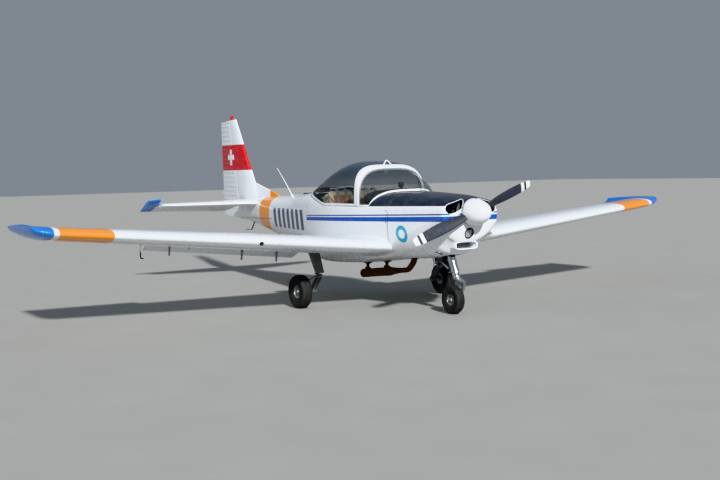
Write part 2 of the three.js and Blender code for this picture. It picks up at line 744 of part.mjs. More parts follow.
function addCabin() {
  const panelHalf = 455;
  const panel = sidePlate(
    [[1730, 1490], [1790, 1545], [1870, 1566], [1990, 1556], [2030, 1535], [2030, 1515], [1960, 1500], [1985, 1080],
      [1950, 1060], [1915, 1060], [1900, 1480]],
    -panelHalf,
    panelHalf,
  );
  const inside = bodyLoft(stationsBetween(1600, 2400, 160), -CABIN_WALL - 3);
  const underGlass = loft(windscreenStations(2150).map((d) => bubbleRing(d, -30))).intersect(aboveCabinLine(1));
  add('instrument_panel', largest(panel.intersect(inside.add(underGlass))), 'panel');
  const seat = [[2360, CABIN_FLOOR + 1], [2330, 960], [2350, 1000], [2780, 960], [2870, 960], [2990, 1380],
    [3015, 1500], [3045, 1545], [3085, 1545], [3120, 1490], [3280, 1420], [3290, 1340], [3140, 1100],
    [3060, CABIN_FLOOR + 1]];
  for (const [label, side] of [['port', 1], ['starboard', -1]]) {
    const [low, high] = side > 0 ? [35, 465] : [-465, -35];
    const cushion = sidePlate(seat, low, high);
    add(`seat_${label}`, cushion, 'cream');
    const foot = new THREE.Vector3(at(2180), side * 250, CABIN_FLOOR + 3);
    const knee = new THREE.Vector3(at(2230), side * 250, 1060);
    const top = new THREE.Vector3(at(2215), side * 250, 1140);
    const stick = bar(foot, knee, 14, 11, 12).add(bar(knee, top, 19, 16, 12));
    add(`control_stick_${label}`, stick, 'black');
  }
  add('rear_shelf', box(3330, 3900, -400, 400, CABIN_FLOOR + 40, 1040), 'cream');
}

function wheelSolid(radius, width, rimRadius) {
  const flat = radius / Math.cos(Math.PI / WHEEL_SIDES);
  const half = width / 2;
  const tyre = [[rimRadius, -half * 0.62], [radius * 0.72, -half * 0.96], [radius * 0.86, -half], [radius * 0.95, -half * 0.8],
    [flat, -half * 0.42], [flat, half * 0.42], [radius * 0.95, half * 0.8], [radius * 0.86, half],
    [radius * 0.72, half * 0.96], [rimRadius, half * 0.62], [rimRadius, -half * 0.62]];
  return spun(tyre, new THREE.Vector3(0, 1, 0), WHEEL_SIDES);
}

function rimSolid(rimRadius, width, boreRadius) {
  const half = width / 2;
  const edge = rimRadius - JOINT_GAP;
  const rim = [[boreRadius, -half * 0.6], [rimRadius * 0.4, -half * 0.6], [rimRadius * 0.45, -half * 0.4],
    [edge * 0.9, -half * 0.4], [edge, -half * 0.6], [edge, half * 0.6], [edge * 0.9, half * 0.4],
    [rimRadius * 0.45, half * 0.4], [rimRadius * 0.4, half * 0.6], [boreRadius, half * 0.6], [boreRadius, -half * 0.6]];
  return spun(rim, new THREE.Vector3(0, 1, 0), WHEEL_SIDES);
}

function addWheel(label, d, y, radius, width, rimRadius) {
  const group = new THREE.Group();
  group.position.set(at(d), y, radius);
  aircraft.add(group);
  add(`${label}_tyre`, wheelSolid(radius, width, rimRadius), 'tyre', group);
  add(`${label}_rim`, rimSolid(rimRadius, width, AXLE_RADIUS + 1.5), 'grey', group);
}

function addMainGear() {
  for (const [label, side] of [['port', 1], ['starboard', -1]]) {
    const inboard = side * 995;
    const top = new THREE.Vector3(at(2598), inboard, 830);
    const knee = new THREE.Vector3(at(2420), inboard, 500);
    const leg = bar(top, knee, 66, 56, 8).add(bar(knee, new THREE.Vector3(at(2405), inboard, 470), 56, 40, 8));
    add(`main_leg_${label}`, largest(leg.subtract(wingAndGap(side))), 'grey');
    const axle = new THREE.Vector3(at(MAIN_AXLE_D), inboard, MAIN_TYRE_RADIUS);
    const pivot = new THREE.Vector3(at(2412), inboard, 432);
    const stub = new THREE.Vector3(at(MAIN_AXLE_D), side * (MAIN_TRACK / 2 + 56), MAIN_TYRE_RADIUS);
    const arm = bar(pivot, axle, 30, 24, 12).add(bar(axle, stub, AXLE_RADIUS, AXLE_RADIUS, 24))
      .subtract(leg.translate([0, 0, -JOINT_GAP]));
    add(`main_arm_${label}`, largest(arm), 'grey');
    addWheel(`main_${label}`, MAIN_AXLE_D, (side * MAIN_TRACK) / 2, MAIN_TYRE_RADIUS, 152, 88);
  }
}

function addNoseGear() {
  const high = new THREE.Vector3(at(868), 0, 780);
  const low = new THREE.Vector3(at(748), 0, 490);
  const strut = bar(high, low, 52, 48, 20);
  add('nose_strut', strut, 'steel');
  const crown = new THREE.Vector3(at(724), 0, 432);
  const shoulder = new THREE.Vector3(at(716), 96, 400);
  const axle = new THREE.Vector3(at(NOSE_AXLE_D), 96, NOSE_TYRE_RADIUS);
  const stub = new THREE.Vector3(at(NOSE_AXLE_D), -48, NOSE_TYRE_RADIUS);
  const under = new THREE.Vector3().subVectors(low, high).normalize();
  const neck = low.clone().addScaledVector(under, 1);
  const fork = bar(neck, crown, 30, 34, 16).add(bar(crown, shoulder, 30, 26, 12)).add(bar(shoulder, axle, 26, 22, 12))
    .add(bar(axle, stub, AXLE_RADIUS, AXLE_RADIUS, 24));
  add('nose_fork', fork, 'steel');
  addWheel('nose', NOSE_AXLE_D, 0, NOSE_TYRE_RADIUS, 122, 72);
}

function addExhaust() {
  const y = -170;
  const muffler = 58;
  // Columns: d, height, radius
  const route = [[1392, 830, 40], [1392, 690, 40], [1460, 582, 40], [1540, 516, 37], [1729, 494, 34], [1940, 472, muffler]];
  const end = [2620, 395];
  let pipe = null;
  route.slice(1).forEach(([d, z, radius], i) => {
    const start = new THREE.Vector3(at(route[i][0]), y, route[i][1]);
    const piece = bar(start, new THREE.Vector3(at(d), y, z), route[i][2], radius, 10);
    const knuckle = new THREE.SphereGeometry(route[i][2], 10, 6).translate(start.x, start.y, start.z);
    pipe = pipe ? pipe.add(solid(knuckle)).add(piece) : piece;
  });
  const front = new THREE.Vector3(at(1940), y, 472);
  const back = new THREE.Vector3(at(end[0]), y, end[1]);
  add('exhaust', pipe.add(bar(front, back, muffler, muffler, 14)), 'rust');
  const clear = bar(front, back, muffler + JOINT_GAP, muffler + JOINT_GAP, 14);
  const body = bodyLoft(stationsBetween(1500, 3200, 160), JOINT_GAP);
  [['front', 2035], ['rear', 2505]].forEach(([label, d]) => {
    const [, , , , bottom] = readTable(BODY, d);
    const middle = 472 - ((d - 1940) * 77) / 680;
    const waist = (bottom + middle + muffler) / 2;
    const outline = [[d - 60, bottom + 40], [d + 60, bottom + 40], [d + 60, bottom - 8], [d + 24, waist],
      [d + 60, middle + muffler], [d + 40, middle + 20], [d - 40, middle + 20], [d - 60, middle + muffler],
      [d - 24, waist], [d - 60, bottom - 8]];
    const hanger = sidePlate(outline, y - 12, y + 12).subtract(clear).subtract(body);
    add(`exhaust_hanger_${label}`, largest(hanger), 'rust');
  });
}

function addFittings() {
  const finTop = 2742;
  const beacon = spun([[0, 0], [32, 0], [32, 26], [27, 60], [14, 82], [0, 90]], new THREE.Vector3(0, 0, 1), 16);
  add('beacon', beacon.translate([at(7060), 0, finTop - 5]), 'red');

  const whipFoot = new THREE.Vector3(at(4600), -180, 1448);
  const whipTip = new THREE.Vector3(at(5080), -180, 1882);
  const body = wholeBody(JOINT_GAP);
  add('whip_antenna', bar(whipFoot, whipTip, 8, 4, 8).add(bar(
    new THREE.Vector3(at(4580), -180, 1420),
    new THREE.Vector3(at(4610), -180, 1462),
    20,
    15,
    12,
  )).subtract(body), 'white');

  const skid = sidePlate([[6230, 1010], [6300, 1010], [6560, 862], [6620, 862], [6620, 840], [6540, 840]], -9, 9);
  add('tail_skid', skid.subtract(body), 'black');

  const pitot = sidePlate([[2385, 1050], [2455, 1050], [2434, 818], [2335, 818], [2335, 834], [2405, 838]], -3460, -3444);
  add('pitot_tube', pitot.subtract(wingAndGap(-1)), 'black');

  const rail = sidePlate([[4320, 1440], [4320, 1494], [4550, 1486], [4550, 1440]], -14, 14);
  add('canopy_rail', rail.subtract(body), 'black');
}

addFuselage();
addCowling();
addEngine();
addPropeller();
addWings();
addTail();
addWindscreen();
addCanopy();
addCabin();
addMainGear();
addNoseGear();
addExhaust();
addFittings();

export default aircraft;
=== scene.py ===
# %% [markdown]
# # A light trainer aircraft, dressed in Blender
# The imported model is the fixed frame: plain solids at their real size, and the bodies that move. This notebook
# gives each of them its looks. The large smooth skins are made again as fine meshes from the same few sections
# that shaped the solids, because a faceted solid shows its facets in every reflection.

import math

import bmesh
import bpy
import numpy as np
from mathutils import Matrix, Vector


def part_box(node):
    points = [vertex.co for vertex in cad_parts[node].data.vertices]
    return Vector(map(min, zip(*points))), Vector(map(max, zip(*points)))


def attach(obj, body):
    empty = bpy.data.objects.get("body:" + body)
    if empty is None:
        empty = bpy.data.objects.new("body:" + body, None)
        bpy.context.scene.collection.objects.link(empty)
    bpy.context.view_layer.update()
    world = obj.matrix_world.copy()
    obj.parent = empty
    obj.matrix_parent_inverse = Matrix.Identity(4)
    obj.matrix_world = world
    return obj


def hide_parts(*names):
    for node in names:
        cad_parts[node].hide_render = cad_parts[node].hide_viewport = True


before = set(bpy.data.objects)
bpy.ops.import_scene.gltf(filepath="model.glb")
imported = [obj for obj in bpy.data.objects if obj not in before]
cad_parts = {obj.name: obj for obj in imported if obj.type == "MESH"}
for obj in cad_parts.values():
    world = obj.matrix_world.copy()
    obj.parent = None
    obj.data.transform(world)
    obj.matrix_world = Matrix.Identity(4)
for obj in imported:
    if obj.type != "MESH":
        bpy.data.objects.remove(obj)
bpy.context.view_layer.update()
SPINNER_TIP = 0.110
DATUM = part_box("spinner")[1].x + SPINNER_TIP
print("the datum that distances run back from is at X =", round(DATUM, 3))

# %% [markdown]
# ## Meshes from rows of points
# Almost every skin here is a grid: rows of points, one row for each section, joined by four-sided faces. A few
# small helpers turn rows into a mesh, shade it smooth with sharp edges kept, and apply modifiers, so that what
# is left at the end is a plain mesh. Making grids by hand keeps the faces even, which a remesh wouldn't.

# %% Grids and lofts
def new_object(name, points, faces):
    mesh = bpy.data.meshes.new(name)
    mesh.from_pydata([tuple(float(v) for v in p) for p in points], [], faces)
    obj = bpy.data.objects.new(name, mesh)
    bpy.context.scene.collection.objects.link(obj)
    return obj


def smooth(obj, sharp=35, weld=1e-5, turn_out=True):
    """Welds doubled points, turns the faces outwards and shades them smooth, except over sharp edges."""
    shape = bmesh.new()
    shape.from_mesh(obj.data)
    bmesh.ops.remove_doubles(shape, verts=shape.verts, dist=weld)
    bmesh.ops.dissolve_degenerate(shape, edges=shape.edges, dist=weld)
    if turn_out:
        bmesh.ops.recalc_face_normals(shape, faces=shape.faces)
    shape.to_mesh(obj.data)
    shape.free()
    obj.data.shade_smooth()
    obj.data.set_sharp_from_angle(angle=math.radians(sharp))
    return obj


def grid(name, rows, around=False, caps=False, sharp=35, turn_out=True):
    """Skins rows of points. around joins each row's last point to its first, and caps closes both ends."""
    rows = np.asarray(rows, float)
    count, wide = rows.shape[:2]
    faces = []
    for i in range(count - 1):
        for j in range(wide if around else wide - 1):
            here, beside = i * wide + j, i * wide + (j + 1) % wide
            faces.append((here, beside, beside + wide, here + wide))
    if caps:
        faces.append(tuple(reversed(range(wide))))
        faces.append(tuple(range((count - 1) * wide, count * wide)))
    return smooth(new_object(name, rows.reshape(-1, 3), faces), sharp, turn_out=turn_out)


def settle(obj):
    """Applies an object's modifiers, so that its own mesh is what shows."""
    graph = bpy.context.evaluated_depsgraph_get()
    shown = bpy.data.meshes.new_from_object(obj.evaluated_get(graph))
    obj.modifiers.clear()
    old, obj.data = obj.data, shown
    bpy.data.meshes.remove(old)
    return obj


def modify(obj, kind, **settings):
    """Adds one modifier with its settings and applies it."""
    change = obj.modifiers.new(kind.lower(), kind)
    for name, value in settings.items():
        setattr(change, name, value)
    return settle(obj)


def combine(obj, tool, how="DIFFERENCE", sharp=35):
    """Cuts or joins obj with a tool, which is then removed."""
    modify(obj, "BOOLEAN", operation=how, solver="MANIFOLD", object=tool)
    bpy.data.objects.remove(tool)
    return smooth(obj, sharp)


def thicken(obj, thickness, outwards=False):
    """Gives an open sheet a thickness, inwards unless told otherwise."""
    return modify(obj, "SOLIDIFY", thickness=thickness, offset=1 if outwards else -1, use_even_offset=True)


def soften(obj, width, steps=2, angle=30, sharp=35):
    """Rounds an object's sharp edges."""
    modify(obj, "BEVEL", width=width, segments=steps, limit_method="ANGLE", angle_limit=math.radians(angle))
    return smooth(obj, sharp)


def join(name, pieces):
    """Joins several meshes into one object of that name."""
    shape = bmesh.new()
    for piece in pieces:
        shape.from_mesh(piece.data)
    joined = new_object(name, [], [])
    shape.to_mesh(joined.data)
    shape.free()
    for piece in pieces:
        bpy.data.objects.remove(piece)
    joined.data.shade_smooth()
    joined.data.set_sharp_from_angle(angle=math.radians(35))
    return joined

# %% [markdown]
# ## Curves through a few points
# Pipes, hoses, rails and edges follow lines. A line is given by a few points, and a smooth curve through them
# is sampled at even steps. A tube is then a ring carried along that line without twisting, which is why each
# ring's frame is taken from the one before it.

# %% Lines, tubes, turned shapes and plates
def evenly(points, count):
    """The same line, with its points at even distances."""
    points = np.asarray(points, float)
    steps = np.r_[0, np.cumsum(np.linalg.norm(np.diff(points, axis=0), axis=1))]
    wanted = np.linspace(0, steps[-1], count)
    return np.column_stack([np.interp(wanted, steps, points[:, k]) for k in range(points.shape[1])])


def flowing(points, count, closed=False):
    """A smooth curve through the points."""
    points = np.asarray(points, float)
    line = np.vstack([points[-1:], points, points[:2]]) if closed else np.vstack(
        [2 * points[0] - points[1], points, 2 * points[-1] - points[-2]])
    fine = []
    for a, b, c, d in zip(line, line[1:], line[2:], line[3:]):
        for t in np.linspace(0, 1, 24, endpoint=False):
            fine.append(0.5 * (2 * b + (c - a) * t + (2 * a - 5 * b + 4 * c - d) * t ** 2
                               + (3 * b - a - 3 * c + d) * t ** 3))
    fine.append(line[-2])
    return evenly(fine, count)


def carried(line, closed=False):
    """For each point of a line: two directions across it that don't twist from one to the next."""
    line = np.asarray(line, float)
    along = np.roll(line, -1, 0) - np.roll(line, 1, 0) if closed else np.gradient(line, axis=0)
    along /= np.linalg.norm(along, axis=1)[:, None]
    start = np.cross(along[0], (0, 0, 1) if abs(along[0][2]) < 0.9 else (1, 0, 0))
    first, frames = start / np.linalg.norm(start), []
    for way in along:
        first = first - way * (first @ way)
        first = first / np.linalg.norm(first)
        frames.append((first, np.cross(way, first)))
    return frames


def tube(name, line, radius, sides=14, closed=False):
    radii = np.broadcast_to(radius, len(line))
    turns = np.linspace(0, 2 * math.pi, sides, endpoint=False)
    rows = [p + r * (np.outer(np.cos(turns), a) + np.outer(np.sin(turns), b))
            for p, r, (a, b) in zip(np.asarray(line, float), radii, carried(line, closed))]
    if closed:
        rows.append(rows[0])
    return grid(name, rows, around=True, caps=not closed, sharp=50)


def rod(name, start, end, radius, sides=14, rounding=0.15):
    """A straight round bar with slightly rounded ends."""
    start, end = np.asarray(start, float), np.asarray(end, float)
    shares = [0, 0, rounding * radius, np.linalg.norm(end - start) - rounding * radius]
    shares = np.array([0, shares[2], shares[3], np.linalg.norm(end - start)]) / np.linalg.norm(end - start)
    line = [start + (end - start) * s for s in shares]
    return tube(name, line, [radius * (1 - rounding), radius, radius, radius * (1 - rounding)], sides)


def turned(name, profile, centre, axis, sides=48, sharp=30, ring=False):
    """A profile of (radius, along) pairs turned about an axis through centre. ring closes the profile on itself."""
    axis = Vector(axis).normalized()
    spin = Vector((0, 0, 1)).rotation_difference(axis).to_matrix()
    rows = []
    for radius, along in profile:
        circle = [spin @ Vector((radius * math.cos(t), radius * math.sin(t), along)) + Vector(centre)
                  for t in np.linspace(0, 2 * math.pi, sides, endpoint=False)]
        rows.append([tuple(p) for p in circle])
    return grid(name, rows + rows[:1] if ring else rows, around=True, caps=not ring, sharp=sharp)


def plate(name, outline, low, high, across="Y"):
    """A flat outline with a thickness. Its pairs are X and Z across Y, Y and Z across X, or X and Y across Z."""
    order = {"Y": (0, 2, 1), "X": (1, 2, 0), "Z": (0, 1, 2)}[across]
    rows = []
    for level in (low, high):
        row = np.zeros((len(outline), 3))
        row[:, order[:2]] = outline
        row[:, order[2]] = level
        rows.append(row)
    return grid(name, rows, around=True, caps=True, sharp=30)


def block(name, low, high, rounding=0.0):
    (x0, y0, z0), (x1, y1, z1) = low, high
    made = plate(name, [(x0, z0), (x1, z0), (x1, z1), (x0, z1)], y0, y1)
    return soften(made, rounding, 3) if rounding else made


def at(back, side, height):
    """A point given by its distance behind the datum."""
    return (DATUM - back, side, height)

# %% [markdown]
# ## A paint shop in arithmetic
# Markings on an aircraft are set out from datum lines: so far back from the nose, so far out from the middle,
# so high. The same is done here. Every mesh sits in the aircraft's own frame, so the shader's object
# coordinates are those distances, and a stripe is a comparison. A small class lets the masks be written as
# plain arithmetic and adds the math nodes itself. No image is needed, and the paint stays sharp at any size.

# %% Numbers that vary over a surface
class Field:
    """A number that varies over a surface. Arithmetic on it adds the shader's math nodes."""

    def __init__(self, tree, socket):
        self.tree, self.socket = tree, socket

    def math(self, operation, *values):
        made = self.tree.nodes.new("ShaderNodeMath")
        made.operation = operation
        for slot, value in zip(made.inputs, values):
            if isinstance(value, Field):
                self.tree.links.new(value.socket, slot)
            else:
                slot.default_value = value
        return Field(self.tree, made.outputs[0])

    def __add__(self, other): return self.math("ADD", self, other)
    def __sub__(self, other): return self.math("SUBTRACT", self, other)
    def __rsub__(self, other): return self.math("SUBTRACT", other, self)
    def __mul__(self, other): return self.math("MULTIPLY", self, other)
    def __truediv__(self, other): return self.math("DIVIDE", self, other)
    def __abs__(self): return self.math("ABSOLUTE", self)
    def __lt__(self, other): return self.math("LESS_THAN", self, other)
    def __gt__(self, other): return self.math("GREATER_THAN", self, other)
    def __and__(self, other): return self.math("MULTIPLY", self, other)
    def __or__(self, other): return self.math("MAXIMUM", self, other)
    __radd__, __rmul__ = __add__, __mul__

    def between(self, low, high): return (self > low) & (self < high)
    def wrap(self, pitch): return self.math("WRAP", self, pitch / 2, -pitch / 2)
    def least(self, other): return self.math("MINIMUM", self, other)
    def most(self, other): return self.math("MAXIMUM", self, other)
    def clamp(self): return self.least(1.0).most(0.0)
    def line(self, width): return abs(self) < width / 2


def root(first, second):
    """The length of a right triangle's long side."""
    return first.math("SQRT", first * first + second * second)

# %% A finish
class Finish:
    """One procedural material, with the distances that its pattern is set out from."""

    def __init__(self, name, roughness, metallic=0.0, **fixed):
        self.made = bpy.data.materials.new(name)
        self.made.use_nodes = True
        self.tree = self.made.node_tree
        self.shader = self.tree.nodes["Principled BSDF"]
        self.shader.inputs["Roughness"].default_value = roughness
        self.shader.inputs["Metallic"].default_value = metallic
        for socket, value in fixed.items():
            self.shader.inputs[socket.replace("_", " ")].default_value = value
        self.place = self.tree.nodes.new("ShaderNodeTexCoord").outputs["Object"]
        split = self.tree.nodes.new("ShaderNodeSeparateXYZ")
        self.tree.links.new(self.place, split.inputs[0])
        self.x, self.y, self.z = (Field(self.tree, out) for out in split.outputs)

    def noise(self, scale, detail=3.0, stretch=(1, 1, 1), roughness=0.55):
        """Cloudy noise from 0 to 1. scale is how many clouds fit in a metre."""
        stretched = self.tree.nodes.new("ShaderNodeVectorMath")
        stretched.operation = "MULTIPLY"
        stretched.inputs[1].default_value = stretch
        self.tree.links.new(self.place, stretched.inputs[0])
        made = self.tree.nodes.new("ShaderNodeTexNoise")
        made.inputs["Scale"].default_value = scale
        made.inputs["Detail"].default_value = detail
        made.inputs["Roughness"].default_value = roughness
        self.tree.links.new(stretched.outputs[0], made.inputs["Vector"])
        return Field(self.tree, made.outputs["Fac"])

    def cells(self, scale, stretch=(1, 1, 1), feature="F1"):
        """Distance to the nearest of many scattered points."""
        stretched = self.tree.nodes.new("ShaderNodeVectorMath")
        stretched.operation = "MULTIPLY"
        stretched.inputs[1].default_value = stretch
        self.tree.links.new(self.place, stretched.inputs[0])
        made = self.tree.nodes.new("ShaderNodeTexVoronoi")
        made.feature = feature
        made.inputs["Scale"].default_value = scale
        self.tree.links.new(stretched.outputs[0], made.inputs["Vector"])
        return Field(self.tree, made.outputs["Distance"])

    def over(self, under, mask, colour):
        """Lays a colour over what is under it, where the mask is 1."""
        mix = self.tree.nodes.new("ShaderNodeMix")
        mix.data_type = "RGBA"
        for slot, value in ((mix.inputs[0], mask), (mix.inputs[6], under), (mix.inputs[7], colour)):
            if isinstance(value, Field):
                self.tree.links.new(value.socket, slot)
            elif isinstance(value, tuple):
                slot.default_value = (*value, 1.0)
            elif isinstance(value, float):
                slot.default_value = value
            else:
                self.tree.links.new(value, slot)
        return mix.outputs[2]

    def drive(self, socket, field):
        self.tree.links.new(field.socket if isinstance(field, Field) else field, self.shader.inputs[socket])

    def relief(self, height, depth, strength=1.0):
        """Turns a height from 0 to 1 into bumps that deep, in metres."""
        bump = self.tree.nodes.new("ShaderNodeBump")
        bump.inputs["Distance"].default_value = depth
        bump.inputs["Strength"].default_value = strength
        self.tree.links.new(height.socket, bump.inputs["Height"])
        self.tree.links.new(bump.outputs[0], self.shader.inputs["Normal"])

# %% Dress a piece
def dress(obj, body, finish, stands_for=()):
    """Gives a piece its material and its body, and hides the solids that it stands for."""
    obj.data.materials.clear()
    for one in finish if isinstance(finish, (list, tuple)) else [finish]:
        obj.data.materials.append(one.made)
    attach(obj, body)
    if stands_for:
        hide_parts(*([stands_for] if isinstance(stands_for, str) else stands_for))
    print(f"{obj.name}: {len(obj.data.polygons)} faces on {body}")
    return obj

# %% [markdown]
# ## The body's sections
# A moulded and riveted body like this has rounded-box sections: a superellipse above the widest line and
# another below it. Fourteen rows describe the whole length, and a smooth curve is read through them. The same
# rows shaped the solids, so the fine skin lies on them within a few millimetres.

# %% Body sections
# Columns, in metres: back, half width, height of the widest line, top, bottom, squareness above, and below
BODY = [
    (0.480, 0.420, 1.240, 1.448, 0.908, 3.20, 2.0),
    (0.700, 0.440, 1.246, 1.486, 0.775, 2.90, 2.4),
    (1.000, 0.475, 1.238, 1.507, 0.716, 2.80, 2.9),
    (1.460, 0.518, 1.205, 1.527, 0.665, 3.00, 3.2),
    (1.940, 0.556, 1.170, 1.536, 0.608, 3.30, 3.4),
    (2.400, 0.572, 1.150, 1.540, 0.558, 3.50, 3.5),
    (2.900, 0.570, 1.135, 1.540, 0.524, 4.00, 3.5),
    (3.400, 0.540, 1.125, 1.535, 0.508, 4.60, 3.4),
    (3.800, 0.492, 1.125, 1.512, 0.545, 4.00, 3.2),
    (4.260, 0.418, 1.130, 1.480, 0.630, 3.00, 3.0),
    (4.700, 0.350, 1.140, 1.462, 0.718, 2.70, 2.8),
    (5.350, 0.262, 1.155, 1.436, 0.845, 2.50, 2.6),
    (6.070, 0.166, 1.180, 1.402, 0.970, 2.40, 2.5),
    (6.800, 0.062, 1.205, 1.366, 1.040, 2.30, 2.4),
]
COWL_FRONT, COWL_LIP_END = 0.432, 0.480
FRONT_SHARE = 0.8
CHIN_RAKE, CHIN_TOP, CHIN_END = 0.4, 1.150, 0.700
FIREWALL = 1.460
TAIL_END = 6.800


def read_table(table, back):
    """A table's row at any distance, on a smooth curve through its rows."""
    rows = np.array(table)
    i = int(np.clip(np.searchsorted(rows[:, 0], back, side="right") - 1, 0, len(rows) - 2))
    a, b = rows[i], rows[i + 1]
    before, after = rows[max(0, i - 1)], rows[min(len(rows) - 1, i + 2)]
    step = b[0] - a[0]
    t = (back - a[0]) / step
    leaving = (b - before) / (b[0] - before[0]) * step
    arriving = (after - a) / (after[0] - a[0]) * step
    return (a * (1 + 2 * t) * (1 - t) ** 2 + leaving * t * (1 - t) ** 2
            + b * t * t * (3 - 2 * t) - arriving * t * t * (1 - t))


def rounded(angles, above, below):
    """A superellipse of half width 1 and half height 1."""
    c, s = np.cos(angles), np.sin(angles)
    power = 2 / np.where(s > 0, above, below)
    return np.sign(c) * np.abs(c) ** power, np.sign(s) * np.abs(s) ** power


def lip_share(back):
    """How much of the section is left where the cowling rounds in at its front."""
    short = np.clip((COWL_LIP_END - back) / (COWL_LIP_END - COWL_FRONT), 0, 1)
    return FRONT_SHARE + (1 - FRONT_SHARE) * math.sqrt(1 - short ** 2)


def raked(back, height):
    """The cowling's chin leans back below its widest line."""
    share = max(0.0, CHIN_END - back) / (CHIN_END - COWL_FRONT)
    return back + CHIN_RAKE * share * np.maximum(0.0, CHIN_TOP - height)


def body_curve(back, first, last, count, grow=0.0):
    """Part of a body section, from one angle to another, as even points in the aircraft's frame."""
    _, half, wide, top, bottom, above, below = read_table(BODY, max(back, BODY[0][0]))
    angles = np.linspace(first, last, 600)
    across, up = rounded(angles, above, below)
    rise = np.where(up > 0, top - wide + grow, wide - bottom + grow)
    share = lip_share(back)
    middle = (top + bottom) / 2
    y = across * (half + grow) * share
    z = middle + (wide + up * rise - middle) * share
    y, z = evenly(np.column_stack([y, z]), count).T
    return np.column_stack([DATUM - raked(back, z), y, z])


def angle_at(back, height):
    """The angle of the body section, above its widest line, that reaches a height."""
    _, _, wide, top, bottom, above, _ = read_table(BODY, max(back, BODY[0][0]))
    middle = (top + bottom) / 2
    height = middle + (height - middle) / lip_share(back)
    return math.asin(np.clip((height - wide) / (top - wide), 0, 1) ** (above / 2))


def half_width(back, height):
    """How far out the skin is at a height, on either side."""
    _, half, wide, top, bottom, above, below = read_table(BODY, max(back, BODY[0][0]))
    share = lip_share(back)
    middle = (top + bottom) / 2
    height = middle + (height - middle) / share
    rise, power = (top - wide, above) if height > wide else (wide - bottom, below)
    return share * half * max(0.0, 1 - min(1.0, abs(height - wide) / rise) ** power) ** (1 / power)


print("half width at the wing's root:", round(half_width(2.4, 0.85), 3))

# %% [markdown]
# ## The line round the cabin
# The windscreen and the sliding canopy sit on one line: over the cowling, down to the sill, level along it,
# and up again to the spine. Everything near it, the skin's edge, the white strip, the glass and the rails, is
# measured from that line, so all of it fits.

# %% Cabin line and bubble
SILL = 1.338
CANOPY_BACK = 4.060
HOOP = 2.180
HOOP_WIDTH = 0.048
SCREEN_FRONT = 1.508
GLASS = 0.006
# Columns, in metres: back, height
CABIN_LINE = [
    (1.508, 1.536), (1.577, 1.536), (1.650, 1.532), (1.698, 1.526), (1.743, 1.515), (1.773, 1.497), (1.804, 1.468),
    (1.836, 1.426), (1.860, 1.394), (1.883, 1.357), (1.895, SILL), (3.028, SILL), (3.600, 1.482), (3.700, 1.498),
    (3.800, 1.503), (3.950, 1.500), (CANOPY_BACK, 1.4935),
]
# Columns, in metres: back, half width, top, squareness
BUBBLE = [
    (SCREEN_FRONT, 0.040, 1.552, 2.5),
    (1.560, 0.098, 1.574, 2.5),
    (1.640, 0.225, 1.610, 2.5),
    (1.740, 0.351, 1.654, 2.5),
    (1.840, 0.495, 1.699, 2.5),
    (1.960, 0.536, 1.758, 2.65),
    (2.080, 0.538, 1.809, 2.9),
    (HOOP, 0.539, 1.868, 3.9),
    (2.450, 0.542, 1.934, 3.45),
    (2.700, 0.546, 1.935, 2.9),
    (3.000, 0.550, 1.890, 2.35),
    (3.300, 0.520, 1.788, 2.15),
    (3.600, 0.470, 1.647, 2.0),
    (3.800, 0.353, 1.576, 2.0),
    (3.950, 0.184, 1.540, 2.3),
    (CANOPY_BACK, 0.024, 1.500, 2.5),
]


def cabin_line(back):
    return np.interp(back, *zip(*CABIN_LINE))


def bubble_size(back):
    """Half width, height above the sill and squareness of the bubble."""
    _, half, top, squareness = read_table(BUBBLE, back)
    return half, top - SILL, squareness


def bubble_angle(back, height, grow=0.0):
    _, tall, squareness = bubble_size(back)
    return math.asin(np.clip((height - SILL) / (tall + grow), 0, 1) ** (squareness / 2))


def bubble_curve(back, lift, grow, count):
    """The bubble's section from the port edge over the top to the starboard edge, lift above the cabin line."""
    half, tall, squareness = bubble_size(back)
    edge = bubble_angle(back, cabin_line(back) + lift, grow)
    across, up = rounded(np.linspace(edge, math.pi - edge, 600), squareness, squareness)
    y, z = evenly(np.column_stack([across * (half + grow), SILL + up * (tall + grow)]), count).T
    return np.column_stack([np.full(count, DATUM - back), y, z])


def bubble_end(near, far, lift, grow=0.0):
    """Where the bubble's top meets the line that is lift above the cabin line, searched from near to far."""
    for _ in range(40):
        middle = (near + far) / 2
        if bubble_angle(middle, cabin_line(middle) + lift, grow) < math.pi / 2 - 1e-9:
            near = middle
        else:
            far = middle
    return near


def rim(inner_end, outer_end, lift, grow, count):
    """The whole U-shaped edge that is lift above the cabin line, from port round the far end to starboard."""
    end = bubble_end(inner_end, outer_end, lift, grow)
    half_line = []
    for share in np.linspace(0, 1, 160):
        back = inner_end + (end - inner_end) * math.sin(share * math.pi / 2)
        height = cabin_line(back) + lift
        half, tall, squareness = bubble_size(back)
        up = min(1.0, max(0.0, (height - SILL) / (tall + grow)))
        half_line.append((DATUM - back, (half + grow) * (1 - up ** squareness) ** (1 / squareness), height))
    half_line = np.array(half_line)
    mirrored = half_line[::-1] * (1, -1, 1)
    return evenly(np.vstack([half_line, mirrored]), count)


print("the windscreen's glass starts", round(bubble_end(HOOP, SCREEN_FRONT, 0.026), 3), "m behind the datum")
